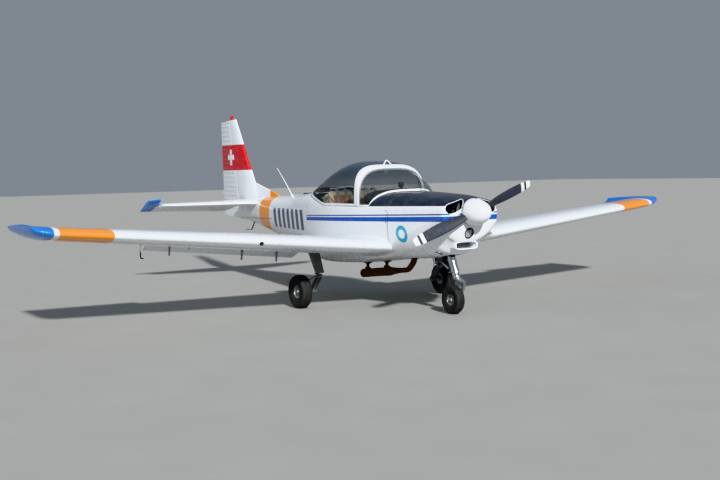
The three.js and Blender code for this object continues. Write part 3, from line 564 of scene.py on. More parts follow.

# %% [markdown]
# ## White paint, and the scheme on it
# The aircraft is white gloss, aged outdoors: faint dirt in the low places, smears, a little orange
# peel. Over it lie a matt black top against glare, a broad and a thin blue line, orange safety bands, a red
# fin band with a plain cross, and blue tips. One material carries the scheme for every skin, so a band runs
# on from wing to aileron without a step. Lettering is left off, and a row of slanted bars fills its place.

# %% Colours of the scheme
WHITE = (0.80, 0.83, 0.87)
ANTI_GLARE = (0.012, 0.019, 0.036)
STRIPE_BLUE = (0.001, 0.078, 0.40)
THIN_BLUE = (0.002, 0.075, 0.30)
BAR_BLUE = (0.02, 0.045, 0.13)
TIP_BLUE = (0.0, 0.17, 0.62)
ORANGE = (0.90, 0.31, 0.012)
RED = (0.58, 0.010, 0.012)
CYAN = (0.02, 0.36, 0.60)
DIRT = (0.30, 0.25, 0.18)
GAP_GREY = (0.10, 0.11, 0.12)


# %% Where the markings are
def body_markings(paint, colour):
    back, side = DATUM - paint.x, abs(paint.y)
    on_body = (side < 0.64) & (back < 5.7)
    stripe_middle = 1.219 - back * 0.0231
    stripe_half = (0.032 - back * 0.002).least((back - 0.352) * 2.2 + 0.010)
    stripe = abs(paint.z - stripe_middle - 0.004) < stripe_half
    thin = abs(paint.z - (1.2805 - back * 0.0262)) < 0.0085
    colour = paint.over(colour, stripe & on_body & back.between(0.352, 3.56), STRIPE_BLUE)
    colour = paint.over(colour, thin & on_body & back.between(0.42, 3.56), THIN_BLUE)
    colour = paint.over(colour, back.between(5.20, 5.66) & (side < 0.45) & (paint.z < 1.75), ORANGE)
    pin = abs(paint.z - (1.1065 - (back - 4.2) * 0.02)) < 0.005
    colour = paint.over(colour, pin & back.between(5.08, 6.6) & (side < 0.3), BAR_BLUE)
    slant = (back - 3.66 - (paint.z - 0.95) * 0.22) / 0.196
    bars = (slant.math("FRACT", slant) < 0.56) & slant.between(0.0, 6.6) & paint.z.between(0.965, 1.262)
    colour = paint.over(colour, bars & (side < 0.6) & (side > 0.1), BAR_BLUE)
    disc = root(back - 1.205, paint.z - 1.010)
    colour = paint.over(colour, disc.between(0.058, 0.108) & (side > 0.3) & (side < 0.6), CYAN)
    black = (paint.z > 1.3745 - back * 0.0151) & (back < 2.0) & (side < 0.64)
    return paint.over(colour, black, ANTI_GLARE), black


def wing_and_tail_markings(paint, colour):
    back, side = DATUM - paint.x, abs(paint.y)
    on_wing, on_tail = back < 4.2, back > 5.5
    colour = paint.over(colour, side.between(4.0, 4.595) & on_wing, ORANGE)
    colour = paint.over(colour, (side > 4.655) & on_wing, TIP_BLUE)
    colour = paint.over(colour, (side > 1.655) & on_tail, TIP_BLUE)
    red = paint.z.between(1.865, 2.305) & on_tail & (side < 0.2)
    colour = paint.over(colour, red, RED)
    across, up = abs(back - 7.066), abs(paint.z - 2.09)
    cross = ((across < 0.045) & (up < 0.135)) | ((up < 0.045) & (across < 0.135))
    return paint.over(colour, cross & (side < 0.2), (0.85, 0.86, 0.87))

# %% Seams and rivets
def seams(paint):
    """Panel lines as a mask: round the body, along the cowling's split, and along the wing's ribs and spars."""
    back, side = DATUM - paint.x, abs(paint.y)
    body = side < 0.62
    rings = (back - 1.500).line(0.005) | (back - 3.565).line(0.003) | (back - 4.62).line(0.0025)
    rings = rings | (back - 5.78).line(0.003)
    lines = rings & body & (paint.z < 1.52)
    wing_plan = (side > 0.66) & (back < 4.2)
    ribs = (side - 0.86).line(0.003) | (side - 2.02).line(0.0025) | (side - 3.199).line(0.003)
    return lines | (ribs & wing_plan)


def rivets(paint):
    """Rows of flush rivet heads, 2.4 mm in radius: ribs and spars on the wing, frames and longerons behind."""
    back, side = DATUM - paint.x, abs(paint.y)
    row_pitch, step, head = 0.29, 0.032, 0.0024
    on_wing = (side > 0.72) & (side < 4.62) & (back < 4.2)
    ribs = root((back - 0.01).wrap(step), (side - 0.86).wrap(row_pitch)) < head
    sweep = back - side * 0.0755
    spars = (root((sweep - 1.86).wrap(0.52), side.wrap(step)) < head) & sweep.between(1.7, 2.8)
    on_rear = (side < 0.5) & back.between(3.6, 6.6) & (paint.z < 1.46)
    frames = root((back - 3.60).wrap(0.41), paint.z.wrap(step)) < head
    longerons = root(back.wrap(step), (paint.z - 1.03).wrap(0.2)) < head
    return ((ribs | spars) & on_wing) | ((frames | longerons) & on_rear)


# %% Airframe paint
def airframe_paint():
    paint = Finish("airframe_paint", 0.3, Coat_Weight=0.5, Coat_Roughness=0.06)
    back = DATUM - paint.x
    clouds = paint.noise(2.3, 4)
    colour = paint.over(WHITE, (clouds * 1.6 - 0.55).clamp() * 0.35, (0.73, 0.755, 0.78))
    colour, black = body_markings(paint, colour)
    colour = wing_and_tail_markings(paint, colour)
    fade = paint.noise(7.0, 5, (1, 1, 2))
    colour = paint.over(colour, (fade * 2.2 - 1.05).clamp() * 0.10, (0.62, 0.61, 0.58))
    belly = (1.02 - paint.z).clamp() * 1.6 * (abs(paint.y) < 0.6)
    streaks = paint.noise(9.0, 6, (0.25, 2.5, 1.0))
    soot = (belly * (streaks * 2.4 - 0.75)).clamp() * back.between(0.9, 6.2)
    colour = paint.over(colour, soot * 0.55, DIRT)
    edge_dirt = (paint.noise(38, 4) * 2.6 - 1.5).clamp()
    colour = paint.over(colour, edge_dirt * 0.07, (0.34, 0.32, 0.28))
    seam, rivet = seams(paint), rivets(paint)
    colour = paint.over(colour, seam * 0.6, GAP_GREY)
    colour = paint.over(colour, rivet * 0.15, (0.35, 0.36, 0.38))
    paint.drive("Base Color", colour)
    smears = paint.noise(14, 5)
    paint.drive("Roughness", (smears * 0.22 + 0.16 + black * 0.20).clamp())
    peel = paint.noise(420, 1) * 0.06
    waves = paint.noise(5.5, 2) * 0.9
    paint.relief(peel + waves - seam * 0.8 - rivet * 0.35, 0.0011, 0.5)
    return paint


PAINT = airframe_paint()
print("airframe paint uses", len(PAINT.tree.nodes), "nodes")

# %% [markdown]
# ## Metals, rubber and plastics
# Plain metal parts differ mostly in roughness and in what lies on them: grease and dust in scattered patches.
# One function makes them all, from a base colour, a second colour for the
# dirt, and a grain size. Rubber gets fine speckle and dry dust, the exhaust gets scale and rust.

# %% Grained finishes
def grained(name, colour, dirt, roughness, metallic=0.0, grain=60, cover=0.4, depth=0.0004, **fixed):
    made = Finish(name, roughness, metallic, **fixed)
    coarse, fine = made.noise(grain / 6, 5), made.noise(grain, 4)
    spots = (coarse * 2.4 - 0.9).clamp()
    shown = made.over(colour, spots * cover, dirt)
    shown = made.over(shown, (fine * 2 - 0.7).clamp() * cover * 0.5, tuple(0.5 * (a + b) for a, b in zip(colour, dirt)))
    made.drive("Base Color", shown)
    made.drive("Roughness", (fine * 0.3 + coarse * 0.2 + (roughness - 0.25)).clamp())
    made.relief(fine * 0.6 + coarse * 0.4, depth, 0.6)
    return made


GREY_STEEL = grained("grey_steel", (0.15, 0.155, 0.16), (0.20, 0.18, 0.15), 0.45, 0.35, 90, 0.5)
CHROME = grained("bright_steel", (0.72, 0.74, 0.78), (0.42, 0.42, 0.40), 0.16, 1.0, 140, 0.25, 0.00008)
PLAIN_STEEL = grained("plain_steel", (0.42, 0.43, 0.44), (0.22, 0.20, 0.17), 0.38, 0.9, 160, 0.4)
ALLOY = grained("grey_alloy", (0.26, 0.27, 0.275), (0.13, 0.12, 0.10), 0.42, 0.6, 110, 0.5)
RUBBER = grained("tyre_rubber", (0.016, 0.016, 0.017), (0.075, 0.07, 0.058), 0.78, 0.0, 120, 0.35, 0.0006)
HOSE = grained("hose_rubber", (0.012, 0.012, 0.013), (0.04, 0.04, 0.038), 0.6, 0.0, 200, 0.3)
RUST = grained("rusty_exhaust", (0.035, 0.022, 0.015), (0.13, 0.052, 0.022), 0.82, 0.45, 70, 0.75, 0.0012)
BLACK_TRIM = grained("black_trim", (0.012, 0.012, 0.014), (0.045, 0.045, 0.046), 0.62, 0.0, 150, 0.3)
PANEL_BLACK = grained("panel_black", (0.018, 0.019, 0.021), (0.05, 0.05, 0.052), 0.7, 0.0, 500, 0.5, 0.0003)
WHITE_METAL = grained("white_metal", (0.80, 0.82, 0.85), (0.50, 0.50, 0.48), 0.32, 0.0, 45, 0.22, 0.0002)
INSIDE_GREY = grained("inside_grey", (0.36, 0.37, 0.37), (0.22, 0.21, 0.20), 0.62, 0.0, 80, 0.4)
CAST_IRON = grained("engine_metal", (0.16, 0.16, 0.165), (0.07, 0.06, 0.05), 0.6, 0.5, 70, 0.6)
print("plain finishes made")

# %% [markdown]
# ## The body's skin
# The real body is thin sheet over frames, open at the top where the cabin is. A solid cut open by a boolean
# would leave ragged faces along the cut. Here each section is drawn only below the cabin line instead, so the
# grid's own edge is the sill, and a Solidify modifier then gives the sheet its thickness.

# %% Skin of the body
SKIN = 0.022
HULL_POINTS = 121


def hull_stations():
    front = np.arange(FIREWALL + 0.0005, 2.0, 0.02)
    middle = np.r_[np.arange(2.0, 3.0, 0.04), np.arange(3.0, 4.32, 0.02)]
    return np.r_[front, middle, np.linspace(4.32, TAIL_END, 48)]


def body_skin():
    rows = []
    for back in hull_stations():
        edge = angle_at(back, cabin_line(back)) if back < CANOPY_BACK else math.pi / 2
        rows.append(body_curve(back, edge, -math.pi - edge, HULL_POINTS))
    return grid("body_skin", rows, sharp=40)


hull = body_skin()
thicken(hull, SKIN)
smooth(hull, 40)
print("body skin has", len(hull.data.polygons), "faces")

# %% [markdown]
# ## Wings, tail and moving surfaces
# A wing is one aerofoil section drawn at the root and at the tip and joined by straight lines. What hinges is
# cut out along a cone about the hinge line, and the moving surface has a round nose that turns in the hollow.
# All of that comes from the section's formula, so flap, wing and gap fit each other along the whole span.

# %% Flying surfaces
# inner and outer sections, in metres: out from the centre, back, chord, height of the nose, thickness over chord
WING = dict(inner=(0, 1.420, 1.880, 0.802, 0.134), outer=(4.648, 1.769, 1.196, 1.211, 0.131), camber=0.0,
            tilt=math.radians(3.1))
TAILPLANE = dict(inner=(0, 5.720, 1.235, 1.322, 0.1), outer=(1.835, 6.310, 0.492, 1.322, 0.1), camber=0.0, tilt=0.0)
FIN = dict(inner=(1.000, 5.806, 1.644, 0, 0.085), outer=(2.760, 6.895, 0.605, 0, 0.085), camber=0.0, tilt=0.0,
           upright=True)
# start and end of a moving surface, how far back its hinge is at the inner and outer section, and its angle at rest
FLAP = dict(start=0.980, end=3.190, hinge=(2.924, 2.726), rest=29)
AILERON = dict(start=3.208, end=4.560, hinge=(2.792, 2.642), rest=0)
ELEVATOR = dict(start=0.150, end=1.835, hinge=(6.520, 6.520), rest=22)
RUDDER = dict(start=1.000, end=2.760, hinge=(6.664, 7.122), rest=0)
HINGE_GAP = 0.006
WING_END, TIP_END = 4.648, 4.875


def half_thickness(x, thick):
    x = np.maximum(x, 0)
    return 5 * thick * (0.2969 * np.sqrt(x) - 0.126 * x - 0.3516 * x ** 2 + 0.2843 * x ** 3 - 0.1015 * x ** 4)


def section_at(surface, out):
    inner, outer = np.array(surface["inner"]), np.array(surface["outer"])
    share = (out - inner[0]) / (outer[0] - inner[0])
    _, nose, chord, height, thick = inner + (outer - inner) * share
    return dict(share=share, out=out, nose=nose, chord=chord, height=height, thick=thick)


def surface_point(surface, section, side, x, up):
    """A point of a flying surface. x runs along the chord from 0 to 1, and up is in chords."""
    x, up = np.asarray(x, float), np.asarray(up, float)
    if surface.get("upright"):
        back, y, z = section["nose"] + section["chord"] * x, section["chord"] * up, np.full(x.shape, section["out"])
    else:
        c, s = math.cos(surface["tilt"]), math.sin(surface["tilt"])
        back = section["nose"] + section["chord"] * (x * c + up * s)
        y = np.full(x.shape, side * section["out"])
        z = section["height"] + section["chord"] * (up * c - x * s)
    return np.stack([DATUM - back, y, z], axis=-1)


def foil_middle(surface, x):
    return 4 * surface["camber"] * x * (1 - x)


def foil_ring(surface, out, side, steps=40):
    section = section_at(surface, out)
    i = np.arange(-steps, steps + 1)
    x = (1 - np.cos(math.pi * np.abs(i) / steps)) / 2
    up = foil_middle(surface, x) - np.sign(i) * half_thickness(x, section["thick"])
    return surface_point(surface, section, side, x, up)


def hinge_share(moving, section):
    back = moving["hinge"][0] + (moving["hinge"][1] - moving["hinge"][0]) * section["share"]
    return (back - section["nose"]) / section["chord"]


def hinge_point(surface, moving, out, side):
    section = section_at(surface, out)
    x = hinge_share(moving, section)
    return surface_point(surface, section, side, x, foil_middle(surface, x))


def hinge_radius(surface, moving, out):
    section = section_at(surface, out)
    return float(half_thickness(hinge_share(moving, section), section["thick"]) * section["chord"])


def hinge_cutter(surface, moving, side, start, end, gap=HINGE_GAP):
    """Everything behind a hinge line, from one distance out to another."""
    ends = [hinge_point(surface, moving, out, side) for out in (start, end)]
    radii = [hinge_radius(surface, moving, out) + gap for out in (start, end)]
    cone = tube("cutter", ends, radii, 64)
    along = ends[1] - ends[0]
    along /= np.linalg.norm(along)
    aft = np.array([-1.0, 0, 0])
    aft = aft - along * (aft @ along)
    aft /= np.linalg.norm(aft)
    up = np.cross(along, aft)
    rows = [[p + aft * a + up * b for a, b in ((0, -0.35), (0.8, -0.35), (0.8, 0.35), (0, 0.35))] for p in ends]
    behind = grid("cutter", rows, around=True, caps=True)
    return combine(cone, behind, "UNION")


def moving_ring(surface, moving, out, side, steps=14, arcs=16, bead=0.0):
    """The section of a moving surface: a half round nose about the hinge, then the fixed section's own back."""
    section = section_at(surface, out)
    hinge = hinge_share(moving, section)
    middle = foil_middle(surface, hinge)
    radius = half_thickness(hinge, section["thick"])
    x_back = 1 - (1 - hinge) * np.arange(steps) / steps
    swell = bead * np.clip((1 - x_back) / 0.06, 0, 1) * np.clip((x_back - hinge) / 0.1, 0, 1) / section["chord"]
    top = foil_middle(surface, x_back) + half_thickness(x_back, section["thick"]) + swell
    turn = math.pi / 2 + math.pi * np.arange(arcs + 1) / arcs
    x_nose, nose = hinge + radius * np.cos(turn), middle + radius * np.sin(turn)
    low = foil_middle(surface, x_back) - half_thickness(x_back, section["thick"]) - swell
    x = np.r_[x_back, x_nose, x_back[::-1]]
    return surface_point(surface, section, side, x, np.r_[top, nose, low[::-1]])


def swing(obj, surface, moving, side, degrees):
    """Turns a mesh about its hinge line, trailing edge down, as the solids are at rest."""
    start, end = (Vector(hinge_point(surface, moving, out, side)) for out in (moving["start"], moving["end"]))
    axis = (end - start) * (1 if side > 0 or surface.get("upright") else -1)
    turn = Matrix.Rotation(-math.radians(degrees), 4, axis.normalized())
    obj.data.transform(Matrix.Translation(start) @ turn @ Matrix.Translation(-start))
    return obj

# %% [markdown]
# The wing is cut to the body's own section, a little inside the skin, and a fairing covers the joint. A
# fairing is a strip whose section is a hollow curve: it leaves the wing flat, and meets the body upright.

# %% Wings
def body_plug(front, back, grow, step=0.06):
    stations = np.linspace(front, back, max(2, int((back - front) / step)))
    return grid("cutter", [body_curve(s, 0, 2 * math.pi, 121, grow)[:-1] for s in stations], around=True, caps=True)


def make_wing(label, side):
    outs = np.linspace(0.30, WING_END, 16)
    wing = grid(f"wing_skin_{label}", [foil_ring(WING, out, side) for out in outs], around=True, caps=True)
    combine(wing, body_plug(1.2, 3.6, -0.010))
    for moving, inner_gap in ((FLAP, 0.024), (AILERON, 0.016)):
        combine(wing, hinge_cutter(WING, moving, side, moving["start"] - inner_gap, moving["end"] + 0.008))
    soften(wing, 0.0015, 1)
    return dress(wing, "airframe", PAINT, f"wing_{label}")


def make_wing_tip(label, side):
    """The tip's lower face sweeps up to a thin outer edge."""
    # Columns: out, share of the chord, share of the thickness
    stations = [(WING_END + 0.001, 1, 1), (4.700, 0.996, 0.985), (4.780, 0.975, 0.90), (4.830, 0.948, 0.76),
                (4.858, 0.92, 0.58), (TIP_END, 0.885, 0.34)]
    rows = []
    for out, chord_share, thick_share in stations:
        full = section_at(WING, out)
        ring = foil_ring(WING, out, side)
        top = full["height"] + full["chord"] * 0.07
        back = DATUM - ring[:, 0]
        moved = full["nose"] + full["chord"] * (1 - chord_share) * 0.7 + (back - full["nose"]) * chord_share
        rows.append(np.column_stack([DATUM - moved, ring[:, 1], top + (ring[:, 2] - top) * thick_share]))
    tip = grid(f"tip_skin_{label}", rows, around=True, caps=True)
    soften(tip, 0.006, 3, 50)
    return dress(tip, "airframe", PAINT, f"wing_tip_{label}")


def make_moving(name, surface, moving, side, node, body):
    outs = np.linspace(moving["start"], moving["end"], 12)
    made = grid(name, [moving_ring(surface, moving, out, side) for out in outs], around=True, caps=True)
    soften(made, 0.0012, 1)
    swing(made, surface, moving, side, moving["rest"])
    return dress(made, body, PAINT, node)


SIDES = (("port", 1), ("starboard", -1))
for label, side in SIDES:
    make_wing(label, side)
    make_wing_tip(label, side)
    make_moving(f"flap_skin_{label}", WING, FLAP, side, f"flap_{label}", f"{label}_flap")
    make_moving(f"aileron_skin_{label}", WING, AILERON, side, f"aileron_{label}", f"{label}_aileron")

# %% Fin and rudder
BEAD_PITCH, BEAD_HEIGHT = 0.080, 0.0042


def make_fin():
    outline = [(5.2, 1.30), (6.75, 1.30), (7.122, 2.728), (6.892, 2.742), (6.1, 2.4), (5.2, 1.5)]
    fin = grid("fin_skin", [foil_ring(FIN, out, 1) for out in np.linspace(1.34, 2.76, 12)], around=True, caps=True)
    combine(fin, plate("cutter", [(DATUM - back, z) for back, z in outline], -0.2, 0.2), "INTERSECT")
    ridge_rows = []
    for back, top in ((5.335, 1.442), (5.6, 1.508), (5.9, 1.582), (6.212, 1.656), (6.42, 1.707)):
        ys = np.array([-0.030, -0.019, -0.012, -0.0065, 0.0, 0.0065, 0.012, 0.019, 0.030])
        zs = np.array([1.340, 1.340 + (top - 1.34) * 0.45, 1.340 + (top - 1.34) * 0.75, top - 0.008, top,
                       top - 0.008, 1.340 + (top - 1.34) * 0.75, 1.340 + (top - 1.34) * 0.45, 1.340])
        ridge_rows.append(np.column_stack([np.full(9, DATUM - back), ys, zs]))
    combine(fin, grid("cutter", ridge_rows, around=True, caps=True), "UNION")
    combine(fin, body_plug(5.0, TAIL_END, -0.008))
    combine(fin, hinge_cutter(FIN, RUDDER, 1, 0.9, 2.86))
    soften(fin, 0.002, 2)
    return dress(fin, "airframe", PAINT, "fin")


def bead_at(height):
    """Raised ribs pressed into the rudder's skin, one every pitch."""
    return BEAD_HEIGHT * max(0.0, math.cos(2 * math.pi * height / BEAD_PITCH)) ** 2


def make_rudder():
    heights = np.linspace(0.96, 2.80, 231)
    rows = [moving_ring(FIN, RUDDER, h, 1, bead=bead_at(h) if 1.2 < h < 2.66 else 0) for h in heights]
    rudder = grid("rudder_skin", rows, around=True, caps=True)
    outline = [(6.5, 1.022), (7.52, 1.097), (7.52, 2.710), (6.88, 2.743)]
    combine(rudder, plate("cutter", [(DATUM - back, z) for back, z in outline], -0.2, 0.2), "INTERSECT")
    return dress(rudder, "rudder", PAINT, "rudder")


make_fin()
make_rudder()

# %% Tailplane and elevator
TAILPLANE_TO, HORN_FROM = 1.642, 1.652


def make_tailplane(label, side):
    outs = np.linspace(0.02, TAILPLANE_TO, 10)
    plane = grid(f"tailplane_skin_{label}", [foil_ring(TAILPLANE, out, side, 32) for out in outs], around=True, caps=True)
    combine(plane, body_plug(5.0, TAIL_END, -0.008))
    combine(plane, block("cutter", at(6.7, -0.061, 1.33), at(5.6, 0.061, 1.5)))
    combine(plane, hinge_cutter(TAILPLANE, ELEVATOR, side, 0.001, 1.865))
    soften(plane, 0.0015, 1)
    return dress(plane, "airframe", PAINT, f"tailplane_{label}")


def make_elevator():
    halves = []
    for label, side in SIDES:
        outs = np.linspace(ELEVATOR["start"], ELEVATOR["end"], 12)
        half = grid("half", [moving_ring(TAILPLANE, ELEVATOR, out, side) for out in outs], around=True, caps=True)
        notch = [(6.61, 0.0), (6.61, 0.165), (7.10, 0.32), (7.10, 0.0)]
        notch = [(DATUM - back, side * out) for back, out in notch]
        combine(half, plate("cutter", notch, 1.1, 1.5, "Z"))
        rows = [foil_ring(TAILPLANE, out, side, 32) for out in np.linspace(HORN_FROM, ELEVATOR["end"], 4)]
        combine(half, grid("cutter", rows, around=True, caps=True), "UNION")
        halves.append(half)
    bar = rod("cutter", at(6.52, -0.2, 1.322), at(6.52, 0.2, 1.322), 0.020, 32)
    whole = combine(combine(halves[0], halves[1], "UNION"), bar, "UNION")
    whole.name = "elevator_skin"
    soften(whole, 0.0012, 1)
    swing(whole, TAILPLANE, dict(ELEVATOR, start=0.0), 1, ELEVATOR["rest"])
    return dress(whole, "elevator", PAINT, "elevator")


for label, side in SIDES:
    make_tailplane(label, side)
make_elevator()

# %% Finish the body's skin
def finish_hull():
    tail_cut = hinge_cutter(FIN, RUDDER, 1, 0.9, 2.0)
    combine(hull, tail_cut, sharp=40)
    combine(hull, rod("cutter", at(6.52, -0.3, 1.322), at(6.52, 0.3, 1.322), 0.030, 32, 0.01), sharp=40)
    inside = hull.data.attributes.new("inside", "INT", "FACE")
    dress(hull, "airframe", [PAINT, INSIDE_GREY], "fuselage")
    for face, mark in zip(hull.data.polygons, inside.data):
        back, y, z = DATUM - face.center.x, face.center.y, face.center.z
        mark.value = int(FIREWALL < back < TAIL_END and abs(y) < half_width(back, z) - 0.010 and z < 1.5)
        face.material_index = mark.value
    hull.data.attributes.remove(inside)


finish_hull()

# %% [markdown]
# ## Cowlings
# The engine's cover is two glass-fibre shells that meet along a level split, with a rounded front. Each is the
# body's section on one side of the split, rounded in at the front and closed by a flat face. The inlets, lamp,
# scoop and gaps are then cut as holes, because on the real thing they are cut into the moulded shell as well.

# %% Cowling shells
COWL_SPLIT, SPLIT_GAP = 1.302, 0.0016
HUB_HEIGHT = 1.285
INLET = [(0.385, 1.334), (0.366, 1.372), (0.330, 1.392), (0.255, 1.412), (0.180, 1.432), (0.120, 1.438), (0.140, 1.345),
         (0.165, 1.318), (0.220, 1.294), (0.280, 1.276), (0.340, 1.272), (0.375, 1.298)]
LAMP_HEIGHT = 1.022
LAMP_WAY = Vector((1, 0, -CHIN_RAKE)).normalized()
SCOOP_HEIGHT = 0.8735


def cowl_shell(name, upper, count):
    split = COWL_SPLIT + (SPLIT_GAP if upper else 0)
    rounding = [COWL_LIP_END - 0.048 * math.sin(t) for t in np.linspace(math.pi / 2, 0, 10)]
    rows = []
    for back in [*rounding, *np.linspace(0.505, FIREWALL - 0.0016, 30)]:
        edge = angle_at(back, split)
        last = math.pi - edge if upper else -math.pi - edge
        rows.append(body_curve(back, edge, last, count))
    straight = np.linspace(rows[0][0], rows[0][-1], count)
    face = []
    for share in np.linspace(1, 0, 9)[:-1]:
        row = rows[0] * (1 - share) + straight * share
        row[:, 0] += 0.004 * math.sin(share * math.pi / 2)
        face.append(row)
    shell = grid(name, face + rows, sharp=40)
    return smooth(thicken(shell, 0.012), 40)


def cowl_back(side, height):
    """How far back the cowling's rounded front is at a place, as seen from ahead."""
    _, half, wide, top, bottom, above, below = BODY[0]
    middle = (top + bottom) / 2
    low, high = FRONT_SHARE, 1.0
    for _ in range(30):
        share = (low + high) / 2
        level = middle + (height - middle) / share
        rise, power = (top - wide, above) if level > wide else (wide - bottom, below)
        inside = abs(side / share / half) ** power + (abs(level - wide) / rise) ** power < 1
        low, high = (low, share) if inside else (share, high)
    back = COWL_LIP_END - 0.048 * math.sqrt(max(0.0, 1 - ((low - FRONT_SHARE) / (1 - FRONT_SHARE)) ** 2))
    return float(raked(back, height))


def squircle(side, height, half_wide, half_tall, squareness, count=64):
    turns = np.linspace(0, 2 * math.pi, count, endpoint=False)
    across, up = rounded(turns, squareness, squareness)
    return [(side + a * half_wide, height + b * half_tall) for a, b in zip(across, up)]


def through(outline, front, back):
    return plate("cutter", outline, DATUM - back, DATUM - front, "X")


def lamp_centre():
    return Vector(at(float(raked(COWL_FRONT, LAMP_HEIGHT)), 0, LAMP_HEIGHT))


def make_cowlings():
    upper, lower = cowl_shell("cowl_upper_skin", True, 81), cowl_shell("cowl_lower_skin", False, 141)
    scoop_rows = []
    for back, share in ((0.530, 0.96), (0.533, 0.985), (0.540, 1.0), (0.620, 1.0), (0.719, 0.94)):
        ring = squircle(0, SCOOP_HEIGHT, 0.172 * share, 0.0515 * share, 4.5)
        scoop_rows.append([at(back, y, z) for y, z in ring])
    combine(lower, grid("cutter", scoop_rows, around=True, caps=True), "UNION", 40)
    combine(lower, through(squircle(0, SCOOP_HEIGHT + 0.0015, 0.155, 0.037, 5), 0.5, 0.69), sharp=40)
    lamp = lamp_centre()
    combine(lower, rod("cutter", lamp + LAMP_WAY * 0.06, lamp - LAMP_WAY * 0.12, 0.0705, 48, 0.01), sharp=40)
    combine(lower, block("cutter", at(1.448, -0.24, 0.56), at(1.19, 0.24, 0.80)), sharp=40)
    combine(lower, block("cutter", at(0.96, -0.095, 0.60), at(0.74, 0.095, 0.86)), sharp=40)
    for shell in (upper, lower):
        combine(shell, rod("cutter", at(0.38, 0, HUB_HEIGHT), at(0.58, 0, HUB_HEIGHT), 0.075, 48, 0.01), sharp=40)
        for side in (1, -1):
            line = flowing([(side * y, z) for y, z in INLET], 72, closed=True)
            combine(shell, through([tuple(p) for p in line], 0.38, 0.64), sharp=40)
    dress(upper, "airframe", PAINT, "upper_cowl")
    dress(lower, "airframe", PAINT, "lower_cowl")


make_cowlings()

# %% Lips of the openings
def inlet_lip(label, side):
    """A rolled white lip along the edge of an air inlet, lying on the cowling's rounded front."""
    line = flowing([(side * y, z) for y, z in INLET], 96, closed=True)
    line = [at(cowl_back(y, z) - 0.001, y, z) for y, z in line]
    lip = tube(f"inlet_lip_{label}", line, 0.0038, 12, closed=True)
    dress(lip, "airframe", WHITE_METAL)
    box_line = [(side * 0.10, 1.285), (side * 0.385, 1.285), (side * 0.385, 1.40), (side * 0.13, 1.44)]
    duct = plate(f"inlet_baffle_{label}", box_line, DATUM - 0.672, DATUM - 0.664, "X")
    dress(duct, "airframe", RUBBER_SEAL)


def scoop_lip():
    outline = squircle(0, SCOOP_HEIGHT + 0.0008, 0.1635, 0.0445, 4.8, 96)
    lip = tube("scoop_lip", [at(0.5305, y, z) for y, z in outline], 0.0060, 12, closed=True)
    dress(lip, "airframe", WHITE_METAL)
    bars = [rod("bar", at(0.612, s, 0.838), at(0.612, s, 0.912), 0.0011, 6) for s in np.arange(-0.148, 0.15, 0.012)]
    bars += [rod("bar", at(0.613, -0.154, z), at(0.613, 0.154, z), 0.0011, 6) for z in np.arange(0.846, 0.908, 0.012)]
    dress(join("scoop_screen", bars), "airframe", PLAIN_STEEL)
    # Painted shade: a black plate behind the screen makes the inside of the scoop dark.
    back = through(squircle(0, SCOOP_HEIGHT + 0.0015, 0.153, 0.036, 5), 0.66, 0.664)
    back.name = "scoop_shade_plate"
    dress(back, "airframe", BLACK_TRIM)


RUBBER_SEAL = grained("rubber_seal", (0.02, 0.02, 0.021), (0.06, 0.055, 0.05), 0.7, 0.0, 60, 0.4)
for label, side in SIDES:
    inlet_lip(label, side)
scoop_lip()

# %% Landing lamp, vent and fasteners
def lamp_glass(name, colour, roughness=0.04, alpha=0.35):
    made = Finish(name, roughness, 0.0, IOR=1.5)
    facing = made.tree.nodes.new("ShaderNodeLayerWeight")
    facing.inputs[0].default_value = 0.35
    edge = Field(made.tree, facing.outputs["Facing"])
    ripple = made.noise(170, 2)
    made.drive("Base Color", made.over(colour, (ripple * 0.4).clamp(), tuple(0.6 * c for c in colour)))
    made.drive("Alpha", (edge * 0.6 + alpha + ripple * 0.08).clamp())
    made.relief(ripple, 0.0006, 0.5)
    return made


CLEAR_LENS = lamp_glass("clear_lens", (0.75, 0.80, 0.82), alpha=0.12)
RED_LENS = lamp_glass("red_lens", (0.62, 0.012, 0.010), alpha=0.80)
GREEN_LENS = lamp_glass("green_lens", (0.01, 0.35, 0.10), alpha=0.80)
AHEAD = (1, 0, 0)


def make_lamp():
    centre = lamp_centre()
    bezel = [(0.056, -0.010), (0.056, 0.004), (0.060, 0.009), (0.0675, 0.009), (0.072, 0.004), (0.072, -0.010)]
    dress(turned("lamp_bezel", bezel, centre, LAMP_WAY, ring=True), "airframe", BLACK_TRIM)
    bowl = [(0.057, -0.006), (0.054, -0.022), (0.044, -0.046), (0.022, -0.062), (0.008, -0.066), (0.008, -0.064),
            (0.022, -0.0595), (0.042, -0.044), (0.052, -0.022), (0.055, -0.006)]
    dress(turned("lamp_reflector", bowl, centre, LAMP_WAY, ring=True), "airframe", GREY_STEEL)
    bulb = [(0.0, -0.064), (0.010, -0.063), (0.010, -0.038), (0.006, -0.030), (0.0, -0.028)]
    dress(turned("lamp_bulb", bulb, centre, LAMP_WAY, 20), "airframe", CLEAR_LENS)
    lens = [(0.0, -0.001), (0.032, -0.002), (0.056, -0.006), (0.056, -0.009), (0.032, -0.005), (0.0, -0.004)]
    dress(turned("lamp_lens", lens, centre, LAMP_WAY), "airframe", CLEAR_LENS, "landing_light")


def make_vent():
    """A round drain grille low on the starboard side of the lower cowling."""
    centre = Vector(at(0.792, -0.2345, 0.776))
    out = Vector((0.10, -0.42, -1.0)).normalized()
    ring = [(0.044, -0.006), (0.044, 0.003), (0.048, 0.0045), (0.053, 0.003), (0.054, -0.006)]
    frame_ring = turned("drain_ring", ring, centre, out, 40, ring=True)
    dress(frame_ring, "airframe", ALLOY)
    fins = []
    across = out.cross(Vector((1, 0, 0))).normalized()
    along = across.cross(out)
    for step in np.linspace(-0.036, 0.036, 7):
        reach = math.sqrt(0.045 ** 2 - step ** 2)
        middle = centre + along * step + out * 0.0005
        fins.append(rod("fin", middle - across * reach, middle + across * reach, 0.0035, 8))
    dress(join("drain_grille", fins), "airframe", GREY_STEEL)


